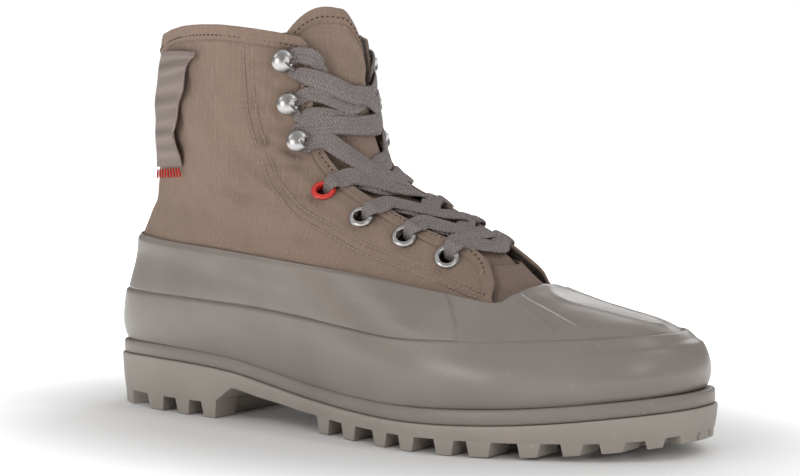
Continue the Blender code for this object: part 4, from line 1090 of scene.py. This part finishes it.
def make_sole():
    """The outsole's wall, its bevelled lugs, the bead over it and the pad inside: solids through loops that are
    the sole's outline, or the last's foot, moved in or out by so many mm."""
    levels = []
    for grow, height in ((-1.25, root), (-1.0, lambda a: root(a) + 0.7 * MM),
                         (-0.3, lambda a: (root(a) + sole_top(a)) / 2), (0, lambda a: sole_top(a) - 1.6 * MM),
                         (0, lambda a: sole_top(a) - 0.6 * MM), (-0.15, lambda a: sole_top(a) - 0.2 * MM),
                         (-0.5, sole_top), (-3.0, lambda a: sole_top(a) - 0.1 * MM)):
        levels.append(level(outline(grow * MM, WALL_POINTS), height))
    place(slab("sole_wall", levels), FINISHES["sole"], "outsole", slot="outsole")
    points, faces = [], []

    def add_lug(low, high):
        first = len(points)
        count = len(low)
        points.extend([*low, *high])
        faces.append([first + i for i in range(count)][::-1])
        faces.append([first + count + i for i in range(count)])
        for i in range(count):
            k = (i + 1) % count
            faces.append([first + i, first + k, first + count + k, first + count + i])

    ends = ((-1.5 * MM, 0, 13.4 * MM, tread), (-1.05 * MM, LUG_FOOT_FLARE, 15 * MM, lug_foot))
    for start, end in LUGS:
        for side in (-1, 1):
            add_lug(*[lug_ring(side_edge(start, end, side, grow, widen), deep, height)
                      for grow, widen, deep, height in ends])
    tips = []
    for grow, widen, deep, height in ends:
        near = side_edge(TOE_LUG_START, 1, -1, grow, 0, 6)
        near[0, 0] -= widen
        far = near[-2::-1].copy()
        far[:, 1] = 2 * centre_at(far[:, 0]) - far[:, 1]
        tips.append(lug_ring(np.concatenate([near, far]), deep, height))
    add_lug(*tips)
    for along, half_width in CENTRE_LUGS:
        pair = []
        for widen, height in ((0.0, tread), (LUG_FOOT_FLARE, lug_foot)):
            x = along * SOLE_LENGTH + (4 * MM + widen) * np.array([-1, 1, 1, -1])
            y = centre_at(along * SOLE_LENGTH) + (half_width * BALL_WIDTH + widen) * np.array([-1, -1, 1, 1])
            pair.append(np.column_stack([x, y, height(x / SOLE_LENGTH)]))
        add_lug(*pair)
    obj = add_mesh("sole_lugs", np.array(points), faces)
    bevel = obj.modifiers.new("rounding", "BEVEL")
    bevel.width = 0.7 * MM
    bevel.segments = 2
    bevel.limit_method = "ANGLE"
    bevel.angle_limit = math.radians(30)
    bevel.harden_normals = False
    obj.data.set_sharp_from_angle(angle=SHARP)
    place(obj, FINISHES["sole"], "outsole", slot="outsole")
    bead = []
    for grow, share in ((-3.4, 0.0), (-1.7, 0.0), (-1.25, 0.05), (-0.95, 0.16), (-0.85, 0.5), (-0.95, 0.84),
                        (-1.25, 0.95), (-1.7, 1.0), (-3.4, 1.0)):
        low = 0.1 * MM + share * BEAD_HEIGHT
        bead.append(level(outline(grow * MM, WALL_POINTS), lambda a, low=low: sole_top(a) + low))
    place(slab("sole_bead", bead), FINISHES["bead"], "midsole", slot="midsole")
    foot = skin(np.linspace(0, 1, 241)[:-1], np.zeros(240))
    pad = [level(inset(foot, 2.9 * MM + step * MM), lambda a, rise=rise: feather(a) + rise * MM)
           for step, rise in ((0, 0.0), (0, 2.0), (0.25, 2.6), (0.8, 2.95), (1.6, 3.0))]
    place(slab("insole_pad", pad), FINISHES["felt"], "insole", slot="insole")


# ---- Metal ----

# Profiles as (radius, height) in mm: an eyelet's ring, and a hook from its head's middle to its foot's
EYELET = ((3.0, -2.2), (3.0, 1.2), (3.25, 1.65), (3.7, 1.9), (4.3, 1.85), (4.9, 1.5), (5.25, 0.95),
          (5.3, 0.62), (4.9, 0.58), (3.6, 0.62), (3.45, 0.3), (3.45, -2.2))
HOOK = ((0, 7.0), (1.4, 6.92), (2.9, 6.55), (4.0, 5.95), (4.7, 5.25), (4.95, 4.75), (4.9, 4.45),
        (4.4, 4.35), (2.5, 4.3), (2.2, 4.0), (2.15, 1.6), (2.6, 1.25), (3.7, 1.15), (4.1, 1.0),
        (4.15, 0.62), (3.9, 0.6), (0, 0.6))
HOOK_RADIUS, HOOK_NECK_TOP = 4.95, 4.1
BITE_AWAY, BITE_RADIUS = 7.4, 4.3


def hook_bite(side):
    """The share of the head's radius left by a round bite on the throat's side: where a ray from the neck first
    meets a circle beside the head."""
    def share(height, turn):
        facing = np.cos(turn) * side
        across = BITE_AWAY ** 2 * (1 - facing ** 2)
        hit = (facing > 0) & (across < BITE_RADIUS ** 2)
        reach = BITE_AWAY * facing - np.sqrt(np.clip(BITE_RADIUS ** 2 - across, 0, None))
        left = np.where(hit, np.minimum(1, reach / HOOK_RADIUS), 1.0)
        return np.where(height > HOOK_NECK_TOP, left, 1.0)
    return share


def make_metal():
    for side, word in ((1, "lateral"), (-1, "medial")):
        for row, (around, rise, kind) in enumerate(HARDWARE):
            rows = seat(side * around, rise)
            if kind == "eyelet":
                obj = ring_piece(f"ring_{word}_{row + 1}", rows, EYELET)
                place(obj, FINISHES["red" if row == RED_ROW else "steel"], f"eyelet_{word}_{row + 1}",
                      slot="red" if row == RED_ROW else "steel")
            else:
                obj = dome_piece(f"lace_hook_{word}_{row - RED_ROW}", rows, HOOK, hook_bite(side))
                place(obj, FINISHES["steel"], f"hook_{word}_{row - RED_ROW}", slot="steel")


# ---- Laces ----

def on_boot(around, rise, out, width=LACE_WIDTH):
    """A lace's station that lies flat on the boot, out mm over the last."""
    return skin(around, rise, out * MM), normal_at(around, rise), width


# The run of each near lace out of its eyelet, and of each far one over the tongue, as (around, rise)
ARCS = (
    ((0.047, 0.578), (0.032, 0.588), (0.016, 0.587)),
    ((0.068, 0.617), (0.051, 0.634), (0.037, 0.634), (0.021, 0.624), (0.008, 0.614), (-0.020, 0.605)),
    ((0.084, 0.667), (0.059, 0.688), (0.040, 0.693), (0.022, 0.683), (0.008, 0.672), (-0.020, 0.662)),
    ((0.088, 0.740), (0.064, 0.757), (0.041, 0.759), (0.023, 0.749), (0.006, 0.738), (-0.020, 0.728)),
)
FAR_ARCS = (
    (),
    ((0.066, 0.622), (0.048, 0.642), (0.028, 0.648), (0.004, 0.640), (-0.022, 0.628)),
    ((0.080, 0.670), (0.056, 0.695), (0.030, 0.704), (0.005, 0.698), (-0.024, 0.684)),
    ((0.086, 0.742), (0.060, 0.760), (0.032, 0.764), (0.005, 0.754), (-0.026, 0.745)),
)
# Rise at which each near and each far lace goes under the other side's edge
LANDING = ((0.0, 0.0), (0.585, 0.635), (0.640, 0.690), (0.706, 0.754))
# The run of a lace to and from a hook, from the hook's lower and upper side to the middle of the throat, with
# the width in mm
HOOK_LOW = (
    ((0.099, 0.823, 6.5), (0.080, 0.834, 8.0), (0.056, 0.818, 8.0), (0.034, 0.794, 8.2)),
    ((0.106, 0.871, 5.0), (0.092, 0.877, 6.5), (0.070, 0.880, 7.5), (0.045, 0.878, 8.0), (0.025, 0.876, 8.2)),
    ((0.112, 0.943, 4.0), (0.098, 0.942, 6.5), (0.076, 0.939, 8.0), (0.052, 0.933, 8.2), (0.028, 0.924, 8.2)),
)
HOOK_HIGH = (
    ((0.113, 0.846, 5.0), (0.100, 0.853, 7.0), (0.078, 0.861, 8.0), (0.052, 0.868, 8.2), (0.028, 0.870, 8.2)),
    ((0.108, 0.900, 5.0), (0.094, 0.911, 6.0), (0.073, 0.914, 6.5), (0.050, 0.911, 7.5), (0.028, 0.905, 8.2)),
    ((0.112, 0.966, 5.5), (0.101, 0.971, 6.8), (0.089, 0.972, 7.4), (0.077, 0.970, 7.0), (0.069, 0.960, 5.0),
     (0.061, 0.947, 3.2)),
)


ON_FACING = 2.05


def lying(side, around, rise, stack=0.0, width=9.0):
    """A lace's station that lies on the facing outside the throat and over the tongue inside it."""
    gap = float(gap_at(rise))
    inside = smoothstep(-0.02, 0.55, 1 - abs(around) / gap)
    over = max(-1.3, float(table_curve(TONGUE, rise, 2)) + 1.1) + stack
    return on_boot(side * around, rise, ON_FACING + (over - ON_FACING) * inside, width * MM)


# From an eyelet's middle: way to the throat and height in mm, lean of the lace in degrees and its width
EYELET_WAY = ((1.0, -4.0, 84, 4.8), (1.5, -1.2, 80, 5.0), (2.3, 1.1, 66, 5.5), (3.4, 2.5, 38, 6.4),
              (5.0, 2.9, 12, 7.6))


def out_of_eyelet(side, row):
    """Stations of a lace that comes up through an eyelet's half next to the throat, and lies down on its rim."""
    around, rise, _ = HARDWARE[row]
    rows = seat(side * around, rise)
    aim = skin(side * ARCS[row][0][0], ARCS[row][0][1]) - rows[3]
    aim = unit(aim - (aim @ rows[2]) * rows[2])
    made = []
    for x, z, lean, width in EYELET_WAY:
        flat = -aim * math.sin(math.radians(lean)) + rows[2] * math.cos(math.radians(lean))
        made.append((rows[3] + aim * x * MM + rows[2] * z * MM, flat, width * MM))
    return made


def under_edge(side, rise):
    """Stations of a lace that goes under the throat's edge."""
    gap = float(gap_at(rise))
    return [on_boot(side * (gap - 0.016), rise + 0.004, -1.5), on_boot(side * (gap + 0.002), rise, -2.75),
            on_boot(side * (gap + 0.022), rise - 0.006, -3.1)]


def make_low_laces():
    """The bar at the bottom, and over it three crossings of a near and a far lace."""
    half = [out_of_eyelet(side, 0) + [lying(side, a, r, 0.5) for a, r in ARCS[0]] for side in (1, -1)]
    stations = half[0] + [lying(1, 0.0, 0.582, 0.5)] + half[1][::-1]
    place(band("lace_run_0", stations), FINISHES["lace"], "lace_bar", slot="laces")
    for row in (1, 2, 3):
        for side, word, stack, arc, land in ((1, "a", 1.35, ARCS[row], LANDING[row][0]),
                                             (-1, "b", 0.0, FAR_ARCS[row], LANDING[row][1])):
            stations = out_of_eyelet(side, row) + [lying(side, a, r, stack) for a, r in arc]
            stations += under_edge(-side, land)
            place(band(f"lace_run_{row}{word}", stations), FINISHES["lace"], f"lace_cross_{row}",
                  slot="laces")


NECK_MIDDLE = 2.7


def round_hook(side, row):
    """Stations of a lace that goes round a hook's neck on edge, from its lower side to its upper one."""
    around, rise, _ = HARDWARE[row]
    rows = seat(side * around, rise)
    tilt = math.sqrt(0.5)
    made = []
    for x, y, nx, ny, nz, width in (
            (3.4, -3.0, 0, -tilt, tilt, 3.6), (0.0, -3.1, 0, -1, 0.1, 2.7), (-3.1, 0, -1, 0, 0, 2.5),
            (0.0, 3.1, 0, 1, 0.1, 2.7), (2.8, 3.4, 0, tilt, tilt, 3.6)):
        point = local(rows, (side * x * MM, y * MM, NECK_MIDDLE * MM))
        made.append((point, rows[0] * side * nx + rows[1] * ny + rows[2] * nz, width * MM))
    return made


def make_high_laces():
    """Two laces from under the throat's edges up to the hooks, each round three of them in turn."""
    for side, word, stack in ((1, "a", 1.3), (-1, "b", 0.0)):
        turn = side
        raised = 0.0 if side > 0 else 0.022
        stations = under_edge(-turn, 0.742 + raised)[::-1]
        stations += [lying(turn, -0.030, 0.752 + raised, stack), lying(turn, 0.0, 0.768 + raised * 1.4, stack)]
        for row in range(3):
            low, high = HOOK_LOW[row], HOOK_HIGH[row]
            lift = raised * 0.6 if row == 0 else 0.0
            if row:
                stations.append(lying(turn, 0.0, low[-1][1] - 0.003, stack))
            stations += [lying(turn, a, r + lift, stack, w) for a, r, w in low[::-1]]
            stations += round_hook(turn, row + 4)
            if row < 2:
                stations += [lying(turn, a, r, stack, w) for a, r, w in high]
            turn = -turn
        last = [lying(-turn, a, r, 0.2, w) for a, r, w in HOOK_HIGH[2][:4]]
        last += [on_boot(-turn * a, r, 0.9 - 1.5 * k, w * MM) for k, (a, r, w) in enumerate(HOOK_HIGH[2][4:])]
        last.append(on_boot(-turn * 0.066, 0.930, -2.6, 3.0 * MM))
        nodes = ("lace_cross_4", "lace_cross_5", "lace_cross_6")
        place(band(f"lace_run_4{word}", stations + last, 8), FINISHES["lace"], *nodes, slot="laces")


# ---- Tab and stitches ----

TACK_STITCHES = 9

def make_tab():
    """The pull tab: a band ruled between its two edges, its front edge wavy and lifted off the canvas. Under
    its foot is a tack, a row of upright stitches."""
    share = np.linspace(0, 1, 100)[:, None]
    table = curve(np.linspace(0, 1, len(TAB)), TAB, share[:, 0])
    across = np.linspace(0, 1, 41)[None]
    front, front_rise, back, back_rise, out = (table[:, k:k + 1] for k in range(5))
    wave = np.sin(share * 21 + 0.4) * smoothstep(0.04, 0.2, share) * (1 - smoothstep(0.9, 1.0, share))
    around = front + (back - front) * across - 0.006 * wave * (1 - across)
    rise = front_rise + (back_rise - front_rise) * across
    lift = out + 0.5 + (0.8 + 0.9 * wave) * (1 - across) ** 3 * smoothstep(0.05, 0.2, share)
    points = skin(around, rise, lift * MM)
    width = np.linalg.norm(points[:, -1] - points[:, 0], axis=-1)[:, None]
    uv = np.stack([share * TAB_LENGTH + 0 * across, across * width], -1)
    obj = surface("heel_tab", points, uv)
    place(obj, FINISHES["tab"], "pull_tab", slot="pull_tab")
    wall(obj, 1.2 * MM)
    share = np.linspace(0, 1, TACK_STITCHES)
    low = np.stack([0.366 + share * 0.066, 0.662 - share * 0.030], -1)
    high = low + np.array([-0.004, 0.034])
    runs = [run_on(*np.stack([foot, top], -1), 2.3) for foot, top in zip(low, high)]
    place(stitches("tab_tack", runs, 4.0 * MM, 4.4 * MM, 0.46 * MM), FINISHES["red_thread"], "pull_tab")


def run_on(around, rise, out):
    """A run of points out mm over the last, and its outward sides."""
    return skin(around, rise, out * MM), normal_at(around, rise)


def make_stitches(tongue_run):
    """The pale double seam of the eyestay, and the dark rows of the throat's and the collar's edges and the
    tongue, whose dark colour is painted shade of their stitch holes."""
    pale, dark = [], [tongue_run]
    for side in (1, -1):
        for shift in (-SEAM_APART, SEAM_APART):
            points, outward = seam_path(shift, side)
            pale.append((points + outward * 0.02 * MM, outward))
        rise = np.linspace(0.43, 0.945, 300)
        around = side * (gap_at(rise) + arc_share(FACING_STITCH * MM, rise))
        dark.append(run_on(around, rise, 0.62))
        share = np.linspace(0.075, 0.5, 300)
        foot = 1 - BINDING_STITCH * MM / rise_speed(side * share, np.full(300, 0.97))
        dark.append(run_on(side * share, foot, 0.68))
    place(stitches("seam_stitches", pale, 2.4 * MM, 2.0 * MM, 0.30 * MM), FINISHES["pale_thread"], "upper")
    # The dark rows' colour is painted shade of the stitch holes along the edges and the tongue
    place(stitches("edge_stitches", dark, 2.3 * MM, 1.1 * MM, 0.29 * MM), FINISHES["thread"], "upper")


# ---- The boot ----

make_quarter(1, "lateral")
make_quarter(-1, "medial")
make_vamp()
tongue_run = make_tongue()
make_shell()
make_sole()
make_metal()
make_low_laces()
make_high_laces()
make_tab()
make_stitches(tongue_run)


# ---- Camera, floor and light ----

IMAGE_WIDTH, IMAGE_HEIGHT, SENSOR = 800, 476, 36
AZIMUTH, ELEVATION, ROLL = math.radians(37.89), math.radians(3.70), math.radians(0.63)
DISTANCE = 773.85 * MM
TARGET = np.array([150 * MM, 0, 80 * MM]) + SHIFT
FOCAL, CENTRE_X, CENTRE_Y = 1795.3, 387.44, 238.05



def aimed(axes, place_at):
    """The matrix of a thing at place_at whose own three axes point along axes."""
    matrix = Matrix.Identity(4)
    for column, axis in enumerate(axes):
        for line in range(3):
            matrix[line][column] = axis[line]
    matrix.translation = place_at
    return matrix


back = np.array([math.sin(AZIMUTH) * math.cos(ELEVATION), -math.cos(AZIMUTH) * math.cos(ELEVATION),
                 math.sin(ELEVATION)])
right = np.array([math.cos(AZIMUTH), math.sin(AZIMUTH), 0])
upright = np.cross(back, right)
image_x = right * math.cos(ROLL) - upright * math.sin(ROLL)
image_y = right * math.sin(ROLL) + upright * math.cos(ROLL)
lens = bpy.data.cameras.new("camera")
lens.sensor_fit = "HORIZONTAL"
lens.sensor_width = SENSOR
lens.lens = FOCAL * SENSOR / IMAGE_WIDTH
lens.shift_x = (IMAGE_WIDTH / 2 - CENTRE_X) / IMAGE_WIDTH
lens.shift_y = (CENTRE_Y - IMAGE_HEIGHT / 2) / IMAGE_WIDTH
lens.clip_start = 0.01
camera = into_scene("camera", lens)
camera.matrix_world = aimed((image_x, image_y, back), (TARGET + back * DISTANCE).tolist())
bpy.context.scene.camera = camera


def add_light(name, place_at, aim, size, power):
    """A soft light at place_at that shines on aim, its sides size metres long."""
    data = bpy.data.lights.new(name, "AREA")
    data.shape = "RECTANGLE"
    data.size, data.size_y = size
    data.energy = power
    away = unit(np.array(place_at, float) - np.array(aim, float))
    side_axis = unit(np.cross([0, 0, 1], away))
    into_scene(name, data).matrix_world = aimed((side_axis, np.cross(away, side_axis), away), place_at)


def make_floor():
    """A pale disc whose rim is far outside the view. Away from the boot it glows, so that it reads as white."""
    turn = np.linspace(0, 2 * math.pi, 96, endpoint=False)
    rings = np.array([0.5, 2.0, 6.0])[:, None]
    points = np.stack([rings * np.cos(turn), rings * np.sin(turn), -0.0002 + 0 * rings * turn], -1)
    mesh = bpy.data.meshes.new("floor")
    quads, _ = grid_quads(3, 96, True)
    mesh.from_pydata(points.reshape(-1, 3).tolist(), [], quads[:, ::-1].tolist() + [list(range(96))])
    floor = into_scene("floor", mesh)
    made = Finish("pale_floor", Specular_IOR_Level=0.1)
    cloud = made.noise(3.0, 2.0)
    tone = made.blend(cloud, (0.93, 0.93, 0.93, 1), (0.96, 0.96, 0.96, 1))
    parts = made.node("ShaderNodeSeparateXYZ", None, {"Vector": made.spots.outputs["Object"]})
    x, y = Field(parts.outputs["X"]), Field(parts.outputs["Y"])
    square = x * x * 0.6 + y * y * 1.4
    apart = square.math("SQRT", square)
    glow = made.blend(apart.over(0.08, 0.27), (0.0, 0.0, 0.0, 1), (1.0, 1.0, 1.0, 1))
    made.put(made.shader.inputs["Emission Color"], glow)
    made.shader.inputs["Emission Strength"].default_value = 1.0
    mesh.materials.append(made.finish(tone, 0.9 + cloud * 0.05))


make_floor()
add_light("key", (1.25, 0.06, 1.75), (0.1, 0, 0.05), (0.30, 0.8), 3.6)
add_light("front", (-0.15, -1.85, 0.42), (0.04, 0, 0.07), (0.5, 0.35), 6.0)
add_light("wide", (-0.9, -1.30, 1.25), (0.0, 0, 0.08), (0.6, 0.6), 2.7)
add_light("toe", (1.5, -0.9, 0.8), (0.1, 0, 0.05), (0.5, 0.5), 2.9)
add_light("top", (0.0, 0.2, 2.0), (0.0, 0, 0.0), (1.8, 1.4), 2.6)
add_light("rear", (-0.3, 1.6, 0.85), (0.0, 0, 0.08), (1.0, 0.5), 5)
SEEN_BRIGHT = 1.05

# The world is white to the camera, and lights the boot with a soft sky, brighter overhead.
world = bpy.data.worlds.new("studio")
world.use_nodes = True
nodes, links = world.node_tree.nodes, world.node_tree.links
seen = nodes.new("ShaderNodeLightPath")
where = nodes.new("ShaderNodeTexCoord")
split = nodes.new("ShaderNodeSeparateXYZ")
links.new(where.outputs["Generated"], split.inputs["Vector"])
sky = nodes.new("ShaderNodeMapRange")
for key, value in (("From Min", 0.05), ("From Max", 0.75), ("To Min", 0.14),
                   ("To Max", 0.46)):
    sky.inputs[key].default_value = value
links.new(split.outputs["Z"], sky.inputs["Value"])
bright = nodes.new("ShaderNodeMix")
links.new(seen.outputs["Is Camera Ray"], bright.inputs[0])
links.new(sky.outputs["Result"], bright.inputs[2])
bright.inputs[3].default_value = SEEN_BRIGHT
links.new(bright.outputs[0], nodes["Background"].inputs["Strength"])
nodes["Background"].inputs["Color"].default_value = (1.0, 1.0, 1.0, 1)
bpy.context.scene.world = world
bpy.context.scene.view_settings.view_transform = "Standard"
